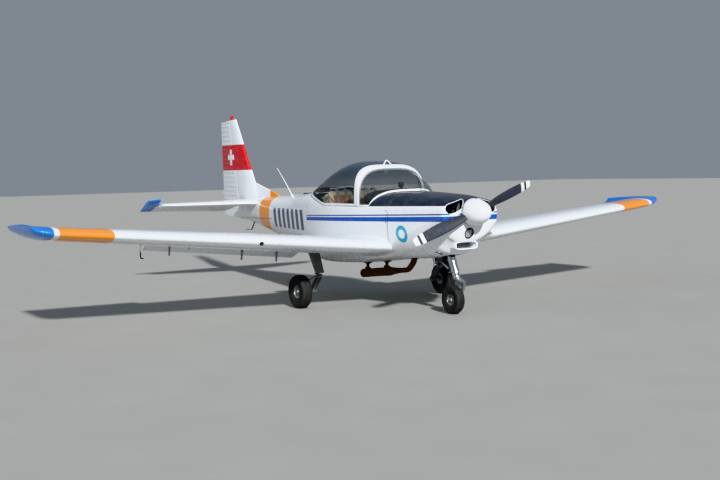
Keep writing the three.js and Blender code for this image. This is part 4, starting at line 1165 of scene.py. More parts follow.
def studs(name, places, radius, body, finish):
    """Round domed screw heads, at places given as (point, outward direction)."""
    heads = []
    for point, out in places:
        profile = [(radius, -0.003), (radius, 0.0006), (radius * 0.75, 0.0015), (radius * 0.2, 0.0018), (0, 0.0014)]
        heads.append(turned("head", profile, point, out, 12))
    return dress(join(name, heads), body, finish)


def cowl_fasteners():
    places = []
    for side in (1, -1):
        for back in np.arange(0.54, 1.42, 0.125):
            for height in (COWL_SPLIT - 0.016, COWL_SPLIT + 0.017):
                y = half_width(back, height)
                places.append((at(back, side * y, height), (0, side, 0.25)))
        for height in np.arange(0.80, 1.26, 0.115):
            places.append((at(1.442, side * half_width(1.442, height), height), (0, side, 0)))
    studs("cowl_fasteners", places, 0.0062, "airframe", PLAIN_STEEL)
    latches = [(at(1.516, side * half_width(1.516, z), z), (0, side, 0)) for side in (1, -1) for z in (1.148, 1.294)]
    studs("cowl_latches", latches, 0.0095, "airframe", BLACK_TRIM)


make_lamp()
make_vent()
cowl_fasteners()

# %% [markdown]
# ## Engine
# Four air-cooled cylinders lie flat under the cowling. Only the front fins show, through the inlets, but the
# whole block is made, because the inlets are open from the sides too. A finned barrel is a saw-toothed
# profile turned about the cylinder's axis, which is how the real fins are cut on a lathe.

# %% Engine and firewall
def fins(radius, start, end, pitch=0.010):
    profile = [(radius * 0.78, start)]
    for i in range(int((end - start) / pitch)):
        low = start + i * pitch
        profile += [(radius * 0.78, low + 0.004), (radius, low + 0.0045), (radius, low + 0.0065),
                    (radius * 0.78, low + 0.007)]
    return profile + [(radius * 0.78, end), (radius * 0.5, end + 0.010)]


def make_engine():
    case = block("crankcase", at(1.34, -0.095, 1.09), at(0.66, 0.095, 1.315), 0.03)
    sump = block("sump", at(1.28, -0.14, 0.965), at(0.74, 0.14, 1.10), 0.035)
    parts = [case, sump]
    for side in (1, -1):
        for back in (0.78, 1.05):
            middle = at(back + (0.04 if side > 0 else 0), 0, 1.215)
            barrel = turned("barrel", fins(0.082, 0.10, 0.27), middle, (0, side, 0), 28, 20)
            parts.append(barrel)
    nose_case = turned("nose_case", [(0.06, -0.02), (0.085, 0.05), (0.055, 0.10), (0.046, 0.11)],
                       at(0.66, 0, HUB_HEIGHT - 0.045), AHEAD, 28)
    parts.append(nose_case)
    dress(join("engine", parts), "airframe", CAST_IRON, "engine_block")
    wheel = [(0.047, 0), (0.148, 0), (0.150, 0.004), (0.150, 0.012), (0.142, 0.014), (0.047, 0.010)]
    dress(turned("starter_ring", wheel, at(0.542, 0, HUB_HEIGHT), AHEAD, 60), "propeller", PLAIN_STEEL)


def wall_across(name, back, grow, finish, top=None, thickness=0.006):
    edge = math.pi / 2 if top is None else angle_at(back, top)
    ring = body_curve(back, edge, -math.pi - edge, 101, grow)
    wall = plate(name, [(y, z) for _, y, z in ring][:-1] if top is None else [(y, z) for _, y, z in ring],
                 DATUM - back - thickness, DATUM - back, "X")
    return dress(wall, "airframe", finish)


make_engine()
wall_across("firewall", FIREWALL + 0.004, -0.010, PLAIN_STEEL)

# %% [markdown]
# ## Propeller
# Two blades of one twisted section, each as long as the photograph shows, leave a pointed spinner. The spinner
# is a turned shell with a back plate, and a black lump round each blade's root is painted shade for the dark
# gap of a blade cut-out. Painted rings at the tips are masks by distance from the hub, so they are true circles on a
# twisted blade.

# %% Spinner and blades
SPINNER_LENGTH, SPINNER_RADIUS = 0.300, 0.165
BLADE_BACK, BLADE_PITCH, BLADE_PARKED = 0.375, 1.5, math.radians(20)
# Columns: radius, chord, thickness over chord
BLADE = [(0.105, 0.088, 0.62), (0.120, 0.096, 0.50), (0.170, 0.106, 0.39), (0.230, 0.118, 0.30), (0.300, 0.131, 0.22),
         (0.380, 0.142, 0.17), (0.470, 0.147, 0.140), (0.560, 0.148, 0.12), (0.650, 0.143, 0.108),
         (0.740, 0.134, 0.10), (0.820, 0.122, 0.088), (0.880, 0.111, 0.08), (0.918, 0.099, 0.075),
         (0.940, 0.084, 0.07), (0.950, 0.062, 0.06)]


def blade_paint():
    made = Finish("blade_paint", 0.42)
    radius = root(made.y, made.z - HUB_HEIGHT)
    worn = (made.noise(26, 5) * 2.4 - 0.9).clamp()
    colour = made.over((0.028, 0.032, 0.046), worn * 0.5, (0.065, 0.070, 0.085))
    colour = made.over(colour, radius > 0.795, (0.78, 0.79, 0.80))
    colour = made.over(colour, radius.between(0.846, 0.882), (0.03, 0.034, 0.046))
    nicks = (made.cells(150) < 0.16) & (radius > 0.45)
    colour = made.over(colour, nicks * 0.55, (0.30, 0.30, 0.31))
    made.drive("Base Color", colour)
    made.drive("Roughness", (made.noise(60, 4) * 0.3 + 0.30).clamp())
    made.relief(made.noise(240, 3) - nicks * 0.8, 0.0004, 0.6)
    return made


BLADE_PAINT = blade_paint()


def make_blade(label, turn):
    outward = Vector((0, math.cos(turn), math.sin(turn)))
    moving = Vector((1, 0, 0)).cross(outward)
    centre = Vector(at(BLADE_BACK, 0, HUB_HEIGHT))
    rows, edge_line = [], []
    for radius, chord, thick in BLADE:
        pitch = math.atan(BLADE_PITCH / (2 * math.pi * radius))
        along = moving * math.cos(pitch) + Vector((1, 0, 0)) * math.sin(pitch)
        up = Vector((1, 0, 0)) * math.cos(pitch) - moving * math.sin(pitch)
        ring = []
        for turned_by in np.linspace(0, 2 * math.pi, 40, endpoint=False):
            c, s = math.cos(turned_by), math.sin(turned_by)
            height = s * (0.66 if s > 0 else 0.34) * thick * chord
            ring.append(centre + outward * radius + along * (c * chord / 2) + up * height)
        rows.append([tuple(p) for p in ring])
        edge_line.append(tuple(centre + outward * radius + along * (chord / 2 - 0.0015)))
    blade = grid(f"blade_{label}", rows, around=True, caps=True, sharp=50)
    dress(blade, "propeller", BLADE_PAINT, f"prop_blade_{label}")
    guard = tube(f"blade_edge_{label}", edge_line[6:14], 0.0022, 8)
    dress(guard, "propeller", PLAIN_STEEL)
    # Painted shade: a black lump round each blade's root stands for the dark gap of a blade cut-out in the spinner.
    root_shade = []
    for radius, size in ((0.128, 0.046), (0.160, 0.046), (0.174, 0.043), (0.178, 0.038)):
        pitch = math.atan(BLADE_PITCH / (2 * math.pi * 0.15))
        along = moving * math.cos(pitch) + Vector((1, 0, 0)) * math.sin(pitch)
        up = Vector((1, 0, 0)) * math.cos(pitch) - moving * math.sin(pitch)
        root_shade.append([tuple(centre + outward * (radius - 0.02) + along * math.cos(t) * size + up * math.sin(t) * size * 0.62)
                     for t in np.linspace(0, 2 * math.pi, 36, endpoint=False)])
    dress(grid(f"blade_cuff_{label}", root_shade, around=True, caps=True), "propeller", BLACK_TRIM)


def make_spinner():
    shares = 1 - np.linspace(1, 0, 26) ** 1.7
    profile = [(SPINNER_RADIUS * math.sqrt(max(0.0, 1 - s ** 2.1)), -SPINNER_LENGTH * (1 - s)) for s in shares]
    shell = [(0.0, -SPINNER_LENGTH + 0.006), (SPINNER_RADIUS - 0.004, -SPINNER_LENGTH + 0.006)] + profile[1:]
    tip = at(SPINNER_TIP, 0, HUB_HEIGHT)
    spinner = turned("spinner_shell", shell, tip, AHEAD, 72)
    dress(spinner, "propeller", WHITE_METAL, "spinner")
    plate_profile = [(0.0, -0.306), (0.155, -0.306), (0.1635, -0.302), (0.165, -0.297), (0.163, -0.2945), (0.0, -0.2945)]
    dress(turned("spinner_plate", plate_profile, tip, AHEAD, 72), "propeller", PLAIN_STEEL)
    shaft = rod("propeller_shaft", at(0.415, 0, HUB_HEIGHT), at(0.545, 0, HUB_HEIGHT), 0.044, 32)
    dress(shaft, "propeller", PLAIN_STEEL)
    places = []
    for turn in np.arange(0, 2 * math.pi, math.pi / 6) + BLADE_PARKED + math.pi / 12:
        share = 1 - 0.288 / SPINNER_LENGTH
        radius = SPINNER_RADIUS * math.sqrt(1 - share ** 2.1)
        out = (0.05, math.cos(turn), math.sin(turn))
        places.append((at(SPINNER_TIP + 0.288, radius * out[1], HUB_HEIGHT + radius * out[2]), out))
    studs("spinner_screws", places, 0.0042, "propeller", PLAIN_STEEL)


make_spinner()
make_blade("port", BLADE_PARKED)
make_blade("starboard", BLADE_PARKED + math.pi)

# %% [markdown]
# ## Fairings and fittings of the wing
# A fairing is a strip with a hollow section: it leaves the wing flat and meets the body upright, so air turns
# the corner without a step. Its radius grows towards the trailing edge. The small fittings follow what such a
# wing carries: hinge pegs below the flap, a round stall sensor in the nose, a pressure tube, lamps and a tie-down.

# %% Root fairings
def wing_meets_body(x, above):
    """Where the wing's upper or lower skin enters the body, at a share of the chord."""
    out = 0.5
    for _ in range(12):
        section = section_at(WING, out)
        up = foil_middle(WING, x) + (1 if above else -1) * half_thickness(x, section["thick"])
        point = surface_point(WING, section, 1, x, up)
        out = 0.5 * out + 0.5 * max(0.3, half_width(DATUM - point[0], point[2]))
    return out, point


def fairing(name, side, above):
    rows = []
    for x in (1 - np.cos(np.linspace(0.10, math.pi * 0.985, 44))) / 2:
        out, corner = wing_meets_body(x, above)
        size = (0.035 + 0.055 * x) if above else (0.02 + 0.03 * x)
        section = section_at(WING, out + size)
        up = foil_middle(WING, x) + (1 if above else -1) * half_thickness(x, section["thick"])
        on_wing = surface_point(WING, section, 1, x, up)
        sign = 1 if above else -1
        height = corner[2] + sign * size
        back = DATUM - corner[0]
        on_body = np.array([corner[0], half_width(back, height) - 0.0015, height])
        on_wing[2] -= sign * 0.0008
        shares = np.linspace(0, 1, 11)[:, None]
        row = on_wing * (1 - shares) ** 2 + 2 * corner * shares * (1 - shares) + on_body * shares ** 2
        rows.append(row * (1, side, 1))
    made = grid(name, rows, sharp=60)
    if (made.data.polygons[200].normal.z > 0) != above:
        made.data.flip_normals()
    return dress(made, "airframe", PAINT)


for label, side in SIDES:
    fairing(f"root_fairing_top_{label}", side, True)
    fairing(f"root_fairing_low_{label}", side, False)

# %% Wing fittings
def on_wing(out, side, x, above=False, lift=0.0):
    section = section_at(WING, out)
    sign = 1 if above else -1
    up = foil_middle(WING, x) + sign * (half_thickness(x, section["thick"]) + lift / section["chord"])
    return surface_point(WING, section, side, x, up)


def flap_peg(label, side, out, drop, count):
    """A hinge peg: a small plate that hangs from the wing's underside with a bolt through its end."""
    hinge = hinge_point(WING, FLAP, out, side)
    back = DATUM - hinge[0]
    low = on_wing(out, side, 0.70)
    outline = [(DATUM - back + 0.075, low[2] + 0.012), (DATUM - back - 0.002, low[2] + 0.010),
               (DATUM - back - 0.012, hinge[2] - drop + 0.012), (DATUM - back + 0.006, hinge[2] - drop),
               (DATUM - back + 0.022, hinge[2] - drop + 0.012)]
    y = hinge[1]
    tab = soften(plate(f"flap_peg_{label}_{count}", outline, y - 0.004, y + 0.004), 0.001, 1)
    dress(tab, "airframe", ALLOY)
    bolt_at = (DATUM - back + 0.005, y, hinge[2] - drop + 0.018)
    bolt = rod(f"flap_bolt_{label}_{count}", (bolt_at[0], y - 0.014, bolt_at[2]), (bolt_at[0], y + 0.014, bolt_at[2]),
               0.0055, 12)
    dress(bolt, "airframe", PLAIN_STEEL)


def tip_lamp(label, side, finish):
    section = section_at(WING, WING_END + 0.09)
    nose = surface_point(WING, section, side, 0.05, 0.0)
    lens = turned(f"tip_lamp_{label}", [(0.0, -0.02), (0.023, -0.018), (0.026, 0.0), (0.022, 0.022), (0.011, 0.038),
                                       (0.0, 0.042)], nose + (0.010, 0, 0.006), (1, side * 0.45, 0), 28)
    dress(lens, "airframe", finish)


def make_wing_fittings(label, side):
    for count, (out, drop) in enumerate(((1.405, 0.235), (1.925, 0.228), (2.945, 0.201))):
        flap_peg(label, side, out, drop, count)
    cap = on_wing(1.55, side, 0.28, True)
    lid = [(0.040, -0.004), (0.040, 0.0015), (0.036, 0.003), (0.012, 0.003), (0.011, 0.006), (0.0, 0.006)]
    dress(turned(f"fuel_cap_{label}", lid, cap, (0.04, 0, 1), 36), "airframe", ALLOY)
    ring_at = on_wing(2.95, side, 0.35) + (0, 0, -0.012)
    turns = np.linspace(0, 2 * math.pi, 28, endpoint=False)
    loop = [ring_at + (0.014 * math.cos(t), 0, 0.014 * math.sin(t)) for t in turns]
    dress(tube(f"tie_down_{label}", loop, 0.0032, 10, closed=True), "airframe", PLAIN_STEEL)
    panels = []
    for out in (1.95, 2.6, 3.3, 3.9):
        spot = on_wing(out, side, 0.42)
        panels.append(turned("lid", [(0.052, -0.003), (0.052, 0.0008), (0.049, 0.0016), (0.0, 0.0016)], spot,
                             (0.05, 0, -1), 32))
    dress(join(f"inspection_lids_{label}", panels), "airframe", WHITE_METAL)
    tip_lamp(label, side, RED_LENS if side > 0 else GREEN_LENS)
    bracket_bits = []
    for out in (3.45, 4.30):
        hinge = hinge_point(WING, AILERON, out, side)
        low = on_wing(out, side, 0.70)
        shape = [(hinge[0] + 0.08, low[2] + 0.008), (hinge[0] - 0.012, low[2] + 0.012),
                 (hinge[0] - 0.010, low[2] - 0.020), (hinge[0] + 0.012, low[2] - 0.022)]
        bracket_bits.append(plate("bit", shape, hinge[1] - 0.003, hinge[1] + 0.003))
    dress(join(f"aileron_brackets_{label}", bracket_bits), "airframe", ALLOY)


def make_stall_sensor():
    nose = on_wing(2.25, -1, 0.008)
    disc = [(0.0, 0.0), (0.023, 0.0), (0.026, 0.004), (0.026, 0.012), (0.021, 0.016), (0.010, 0.016), (0.009, 0.010),
            (0.0, 0.010)]
    dress(turned("stall_sensor", disc, nose + (-0.004, 0, 0), (1, 0, -0.25), 32), "airframe", BLACK_TRIM)
    vane = plate("stall_vane", [(nose[0] + 0.012, nose[2] - 0.005), (nose[0] + 0.034, nose[2] - 0.012),
                                (nose[0] + 0.034, nose[2] - 0.015), (nose[0] + 0.012, nose[2] - 0.013)],
                 nose[1] - 0.006, nose[1] + 0.006)
    dress(vane, "airframe", PLAIN_STEEL)


def make_pitot():
    low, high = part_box("pitot_tube")
    y = (low.y + high.y) / 2
    knee = low.z + 0.078
    mast = plate("pitot_mast", [(low.x + 0.050, high.z + 0.004), (low.x + 0.002, high.z + 0.004), (low.x + 0.010, knee),
                                (low.x + 0.034, knee)], y - 0.0045, y + 0.0045)
    dress(soften(mast, 0.003, 3), "airframe", PAINT)
    leg = [(low.x + 0.021, y, knee + 0.020), (low.x + 0.019, y, low.z + 0.040), (low.x + 0.026, y, low.z + 0.012),
           (low.x + 0.045, y, low.z + 0.008), (low.x + 0.100, y, low.z + 0.008)]
    pipe = tube("pitot_pipe", flowing(leg, 40), 0.0078, 14)
    dress(pipe, "airframe", BLACK_TRIM, "pitot_tube")
    foot = block("pitot_foot", (low.x - 0.008, y - 0.016, high.z - 0.004), (low.x + 0.060, y + 0.016, high.z + 0.006), 0.003)
    dress(foot, "airframe", ALLOY)


for label, side in SIDES:
    make_wing_fittings(label, side)
make_stall_sensor()
make_pitot()

# %% [markdown]
# ## Windscreen and canopy
# The bubble is one smooth blown shape, split at a hoop. The windscreen stays with the body, and the rest slides
# back. Each half has a bow at the hoop and a frame along the cabin line. The glass is a thin tinted sheet: it
# gets denser towards its edges as any glass does at a low angle, and its top is painted a denser blue, a painted sky
# reflection.

# %% Glass
def tinted_glass():
    made = Finish("tinted_glass", 0.035, 0.0, IOR=1.49)
    weight = made.tree.nodes.new("ShaderNodeLayerWeight")
    weight.inputs[0].default_value = 0.25
    edge = Field(made.tree, weight.outputs["Facing"])
    back = DATUM - made.x
    # Painted reflection: high on the bubble, behind the windscreen, the glass turns bluer and less clear, standing for
    # the sky it reflects.
    painted_sky_reflection = ((made.z - 1.66) * 4.2).clamp() * ((back - 1.95) * 2.5).clamp()
    dust = made.noise(34, 6)
    colour = made.over((0.035, 0.05, 0.055), painted_sky_reflection, (0.050, 0.085, 0.135))
    colour = made.over(colour, (dust * 0.5 - 0.12).clamp(), (0.20, 0.22, 0.23))
    black = (made.z - canopy_edge(back)) < 0.075
    colour = made.over(colour, black & (back > 3.06), (0.006, 0.006, 0.007))
    made.drive("Base Color", colour)
    # Alpha rises with the painted sky reflection at the top, with the facing weight at the edges, and with dust.
    alpha = painted_sky_reflection * 0.40 + edge * 0.46 + 0.09 + dust * 0.05
    made.drive("Alpha", alpha.most(black & (back > 3.06)).clamp())
    made.drive("Roughness", (dust * 0.05 + 0.01).clamp())
    made.relief(made.noise(3.5, 1), 0.002, 0.25)
    return made


def canopy_edge(back):
    """The cabin line behind the doors as shader arithmetic."""
    return ((back - 3.028) * 0.25175 + SILL).least(1.500).most(SILL)


TINTED = tinted_glass()
RAIL_LIFT, STRIP_LIFT = 0.036, 0.026
SCREEN_BACK = HOOP - HOOP_WIDTH - 0.002


def glass_rows(near, far, lift, count, steps):
    """Sections of glass from the hoop to the end, closer together where the bubble falls away."""
    end = bubble_end(near, far, lift)
    shares = np.sin(np.linspace(0, math.pi / 2, steps))
    return [bubble_curve(near + (end - near) * s, lift, 0.0, count) for s in shares]


def make_glass():
    screen = grid("windscreen_pane", glass_rows(SCREEN_BACK, SCREEN_FRONT, STRIP_LIFT - 0.004, 97, 60), sharp=60)
    thicken(screen, GLASS)
    dress(smooth(screen, 50), "airframe", TINTED, "windscreen_glass")
    hood = grid("canopy_pane", glass_rows(HOOP + HOOP_WIDTH + 0.004, CANOPY_BACK, RAIL_LIFT - 0.006, 97, 60), sharp=60)
    thicken(hood, GLASS)
    dress(smooth(hood, 50), "canopy", TINTED, "canopy_glass")


make_glass()

# %% Frames
def edge_strip(near, far, low, high, grow_out, grow_in, count=220):
    """A strip with a thickness along the whole U-shaped edge of the bubble."""
    corners = [rim(near, far, low, grow_out, count), rim(near, far, high, grow_out, count),
               rim(near, far, high, grow_in, count), rim(near, far, low, grow_in, count)]
    return np.stack(corners, axis=1)


def bow(name, front, back, grow_out, grow_in, lift=0.002, count=110):
    """An arch across the bubble between two distances back."""
    corners = [bubble_curve(front, lift, grow_out, count), bubble_curve(back, lift, grow_out, count),
               bubble_curve(back, lift, grow_in, count), bubble_curve(front, lift, grow_in, count)]
    return grid(name, np.stack(corners, axis=1), around=True, caps=True, sharp=30)


def make_frames():
    strip = grid("windscreen_strip", edge_strip(SCREEN_BACK, SCREEN_FRONT, 0.001, STRIP_LIFT, 0.005, -0.014),
                 around=True, caps=True, sharp=30)
    hoop = bow("windscreen_hoop", HOOP - HOOP_WIDTH - 0.001, HOOP - 0.003, 0.008, -0.028)
    soften(strip, 0.0025, 2)
    soften(hoop, 0.004, 3)
    dress(strip, "airframe", WHITE_METAL, "windscreen_frame")
    dress(hoop, "airframe", WHITE_METAL)
    handle = [(-0.113, 1.866), (-0.106, 1.888), (-0.080, 1.930), (-0.064, 1.941), (-0.044, 1.934), (0.018, 1.884),
              (0.026, 1.866)]
    line = flowing([at(HOOP - 0.024, y, z) for y, z in handle], 60)
    dress(tube("hoop_handle", line, 0.0075, 12), "airframe", WHITE_METAL)
    rail = grid("canopy_edge_rail", edge_strip(HOOP + HOOP_WIDTH + 0.002, CANOPY_BACK, 0.0035, RAIL_LIFT, 0.003,
                                               -0.020), around=True, caps=True, sharp=30)
    front_bow = bow("canopy_bow", HOOP + 0.003, HOOP + HOOP_WIDTH + 0.002, 0.006, -0.028, 0.004)
    soften(rail, 0.0025, 2)
    soften(front_bow, 0.004, 3)
    dress(rail, "canopy", WHITE_METAL, "canopy_frame")
    dress(front_bow, "canopy", WHITE_METAL)
    seal = bow("hoop_seal", HOOP - 0.0025, HOOP + 0.0005, 0.0045, -0.024, 0.004)
    dress(seal, "airframe", RUBBER_SEAL)


def make_canopy_fittings():
    rail = [(2.26, -0.502, 1.604), (2.40, -0.507, 1.600), (2.64, -0.509, 1.586), (2.86, -0.505, 1.570)]
    bar = tube("canopy_grab_rail", flowing([at(*p) for p in rail], 40), 0.0065, 12)
    dress(bar, "canopy", WHITE_METAL)
    for count, (back, side, height) in enumerate((rail[0], rail[3])):
        foot = rod(f"grab_rail_foot_{count}", at(back, side, height), at(back, side - 0.028, height), 0.013, 16)
        dress(foot, "canopy", ALLOY)
    latch = block("canopy_latch", at(2.268, -0.030, 1.822), at(2.224, 0.030, 1.848), 0.006)
    dress(latch, "canopy", BLACK_TRIM)
    lever = tube("canopy_latch_lever", flowing([at(2.25, 0.0, 1.824), at(2.27, 0.0, 1.806), at(2.31, 0.0, 1.802)], 20),
                 0.006, 12)
    dress(lever, "canopy", CHROME)
    outline = [(DATUM - 4.320, 1.460), (DATUM - 4.320, 1.4935), (DATUM - 4.550, 1.4855), (DATUM - 4.550, 1.452)]
    channel = soften(plate("spine_rail", outline, -0.014, 0.014), 0.002, 2)
    combine(channel, block("cutter", at(4.60, -0.006, 1.484), at(4.30, 0.006, 1.52)))
    dress(channel, "airframe", BLACK_TRIM, "canopy_rail")


make_frames()
make_canopy_fittings()

# %% [markdown]
# ## Cabin
# Little of the cabin shows, but the glass is clear enough to tell an empty shell. It gets a floor, a coaming,
# a panel with plain round dials, sticks, pedals, a flap lever and a compass on the coaming.

# %% Floor, walls, coaming and panel
CABIN_FLOOR = 0.740
CARPET = grained("carpet", (0.10, 0.10, 0.11), (0.20, 0.19, 0.18), 0.95, 0.0, 260, 0.6, 0.002)
LINING = grained("cabin_lining", (0.52, 0.49, 0.42), (0.36, 0.34, 0.29), 0.85, 0.0, 130, 0.4, 0.0006)


def make_cabin_shell():
    backs = np.linspace(1.475, 4.045, 40)
    edge = [(back, half_width(back, CABIN_FLOOR) - 0.021) for back in backs]
    outline = [(DATUM - b, w) for b, w in edge] + [(DATUM - b, -w) for b, w in reversed(edge)]
    dress(plate("cabin_floor", outline, CABIN_FLOOR - 0.012, CABIN_FLOOR, "Z"), "airframe", CARPET)
    wall_across("rear_bulkhead", 4.050, -0.021, LINING, top=1.452)
    tub = []
    for back in np.linspace(3.33, 3.90, 8):
        wide = min(0.398, half_width(back, 1.0) - 0.024)
        ys = np.array([-wide, -wide, -wide + 0.03, 0, wide - 0.03, wide, wide])
        zs = np.array([0.785, 1.00, 1.032, 1.036, 1.032, 1.00, 0.785])
        tub.append(np.column_stack([np.full(7, DATUM - back), ys, zs]))
    shelf = grid("baggage_shelf", tub, around=True, caps=True)
    dress(soften(shelf, 0.012, 3), "airframe", CARPET, "rear_shelf")


def bubble_reach(back, height):
    """How far out the bubble is at a height."""
    half, tall, squareness = bubble_size(back)
    share = np.clip((height - SILL) / tall, 0, 1)
    return half * (1 - share ** squareness) ** (1 / squareness)


def make_coaming():
    rows = []
    heights = [(1.730, 1.492), (1.765, 1.527), (1.800, 1.548), (1.870, 1.566), (1.990, 1.557), (2.022, 1.545),
               (2.032, 1.528)]
    for back in np.linspace(1.732, 2.032, 26):
        top = np.interp(back, *zip(*heights))
        low = max(1.430, cabin_line(back) - 0.022)
        across, up = rounded(np.linspace(0, math.pi, 200), 3.2, 6.0)
        z = low + np.abs(up) ** 0.5 * (top - low)
        wide = np.minimum(bubble_reach(back, z) - 0.022, 0.505)
        y, z = evenly(np.column_stack([across * wide, z - 0.016 * across ** 2 * (z > low + 0.02)]), 61).T
        rows.append(np.column_stack([np.full(61, DATUM - back), y, z]))
    hood = grid("coaming", rows, sharp=50)
    thicken(hood, 0.010)
    dress(smooth(hood, 40), "airframe", PANEL_BLACK, "instrument_panel")
    outline = [(-0.450, 1.500), (0.450, 1.500), (0.500, 1.40), (0.502, 1.12), (0.47, 1.07), (-0.47, 1.07),
               (-0.502, 1.12), (-0.500, 1.40)]
    board = plate("panel_board", outline, DATUM - 1.975, DATUM - 1.957, "X")
    dress(soften(board, 0.004, 2), "airframe", PANEL_BLACK)


def dial(side, height, radius, needle):
    """Bezel, face, ticks and needle of one round instrument, facing the seats."""
    centre, out = at(1.975, side, height), (-1, 0, 0)
    bezel = turned("bezel", [(radius * 0.86, -0.002), (radius * 0.86, 0.005), (radius, 0.004), (radius, -0.002)],
                   centre, out, 32, ring=True)
    face = turned("face", [(radius * 0.87, -0.001), (radius * 0.87, 0.001), (0, 0.001)], centre, out, 32)
    marks = []
    for turn in np.arange(0, 2 * math.pi, math.pi / 6):
        inner, outer = radius * 0.66, radius * 0.80
        marks.append(rod("mark", at(1.9763, side + inner * math.cos(turn), height + inner * math.sin(turn)),
                         at(1.9763, side + outer * math.cos(turn), height + outer * math.sin(turn)), 0.0008, 4))
    tip = radius * 0.62
    marks.append(rod("mark", at(1.9772, side, height),
                     at(1.9772, side + tip * math.cos(needle), height + tip * math.sin(needle)), 0.0011, 6))
    return [bezel, face], marks


def make_instruments():
    cases, marks = [], []
    places = [(0.25 + 0.098 * (i % 3 - 1), 1.420 - 0.098 * (i // 3), 0.043, 0.7 + i * 1.3) for i in range(6)]
    places += [(-0.22 - 0.072 * (i % 3), 1.430 - 0.072 * (i // 3), 0.030, 2.2 - i * 0.7) for i in range(6)]
    for side, height, radius, needle in places:
        plain, white = dial(side, height, radius, needle)
        cases += plain
        marks += white
    dress(join("dials", cases), "airframe", BLACK_TRIM)
    dress(join("dial_marks", marks), "airframe", WHITE_METAL)
    stack, knobs = [], []
    for level in (1.440, 1.387, 1.334, 1.281, 1.228):
        stack.append(block("unit", at(1.986, -0.105, level - 0.022), at(1.974, 0.065, level + 0.022), 0.003))
        for side in (-0.09, 0.05):
            knobs.append(turned("knob", [(0.008, 0), (0.008, 0.012), (0.006, 0.014), (0, 0.014)], at(1.986, side, level),
                                (-1, 0, 0), 16))
    dress(join("radio_stack", stack), "airframe", GREY_STEEL)
    dress(join("radio_knobs", knobs), "airframe", BLACK_TRIM)
    levers = []
    for side, reach in ((-0.05, 0.055), (0.0, 0.075), (0.05, 0.06)):
        levers.append(rod("lever", at(1.974, side, 1.12), at(1.974 + reach, side, 1.12), 0.0045, 12))
        levers.append(turned("knob", [(0.006, 0), (0.014, 0.004), (0.015, 0.014), (0.010, 0.020), (0, 0.021)],
                             at(1.974 + reach, side, 1.12), (-1, 0, 0), 20))
    dress(join("throttle_knobs", levers), "airframe", BLACK_TRIM)


def make_compass():
    """A ball compass on a short stalk, the dark lump that shows through the windscreen."""
    middle = at(1.912, 0, 1.618)
    bowl = [(0.0, -0.040), (0.026, -0.036), (0.036, -0.020), (0.038, 0.0), (0.036, 0.020), (0.026, 0.032), (0.0, 0.036)]
    dress(turned("compass_bowl", bowl, middle, (0, 0, 1), 32), "airframe", BLACK_TRIM)
    window = turned("compass_window", [(0.0, 0.0), (0.022, 0.0), (0.024, 0.004), (0.018, 0.010), (0, 0.012)],
                    (middle[0] - 0.032, 0, middle[2]), (-1, 0, 0), 28)
    dress(window, "airframe", CLEAR_LENS)
    stalk = tube("compass_stalk", flowing([at(1.906, 0, 1.560), at(1.909, 0, 1.572), at(1.912, 0, 1.584)], 14), 0.012, 14)
    dress(stalk, "airframe", BLACK_TRIM)
    foot = turned("compass_foot", [(0.030, -0.006), (0.030, 0.003), (0.016, 0.008), (0, 0.008)], at(1.906, 0, 1.565),
                  (0, 0, 1), 24)
    dress(foot, "airframe", BLACK_TRIM)


def make_controls(label, side):
    y = side * 0.25
    stick = [at(2.18, y, CABIN_FLOOR + 0.02), at(2.190, y, 0.86), at(2.212, y, 0.98), at(2.228, y, 1.06)]
    dress(tube(f"stick_tube_{label}", flowing(stick, 26), 0.0115, 14), "airframe", GREY_STEEL,
          f"control_stick_{label}")
    grip = [(0.013, 0.0), (0.018, 0.006), (0.0165, 0.018), (0.0185, 0.030), (0.0165, 0.042), (0.0185, 0.054),
            (0.0165, 0.066), (0.018, 0.078), (0.015, 0.088), (0.0, 0.090)]
    dress(turned(f"stick_grip_{label}", grip, at(2.228, y, 1.050), (0.14, 0, 1), 24), "airframe", BLACK_TRIM)
    folds = [(0.072 - 0.010 * i - (0.006 if i % 2 else 0), 0.010 * i) for i in range(7)] + [(0.0, 0.062)]
    dress(turned(f"stick_boot_{label}", folds, at(2.18, y, CABIN_FLOOR + 0.001), (0.03, 0, 1), 32), "airframe",
          RUBBER_SEAL)
    pedals = []
    for pair in (-0.075, 0.075):
        pad = block("pad", at(1.655, y + pair - 0.042, 0.86), at(1.640, y + pair + 0.042, 0.95), 0.006)
        pedals += [pad, rod("arm", at(1.645, y + pair, 0.86), at(1.60, y + pair, CABIN_FLOOR), 0.010, 12)]
    dress(join(f"pedals_{label}", pedals), "airframe", ALLOY)


make_cabin_shell()
make_coaming()
make_instruments()
make_compass()
for label, side in SIDES:
    make_controls(label, side)
flap_lever = tube("flap_lever", flowing([at(2.50, 0, 0.76), at(2.42, 0, 0.84), at(2.30, 0, 0.93)], 24), 0.010, 14)
dress(flap_lever, "airframe", GREY_STEEL)
lever_grip = turned("flap_lever_grip", [(0.012, 0), (0.016, 0.005), (0.016, 0.085), (0.010, 0.095), (0, 0.096)],
                    at(2.315, 0, 0.918), (0.83, 0, 0.62), 24)
dress(lever_grip, "airframe", BLACK_TRIM)

# %% [markdown]
# ## Seats
# Each seat is a cushion and a back, covered in cream leathercloth with a tan middle. Foam under a cover swells
# between its seams, so the pads are inflated by a cloth simulation while the seam lines are held still, and
# the second seat is a copy of the first. Belts are flat webbing, which a simulation's remesh would erase, so
# they are laid over the pads.

# %% Leathercloth and webbing
SEAT_MIDDLE, SEAM = 0.25, 0.140


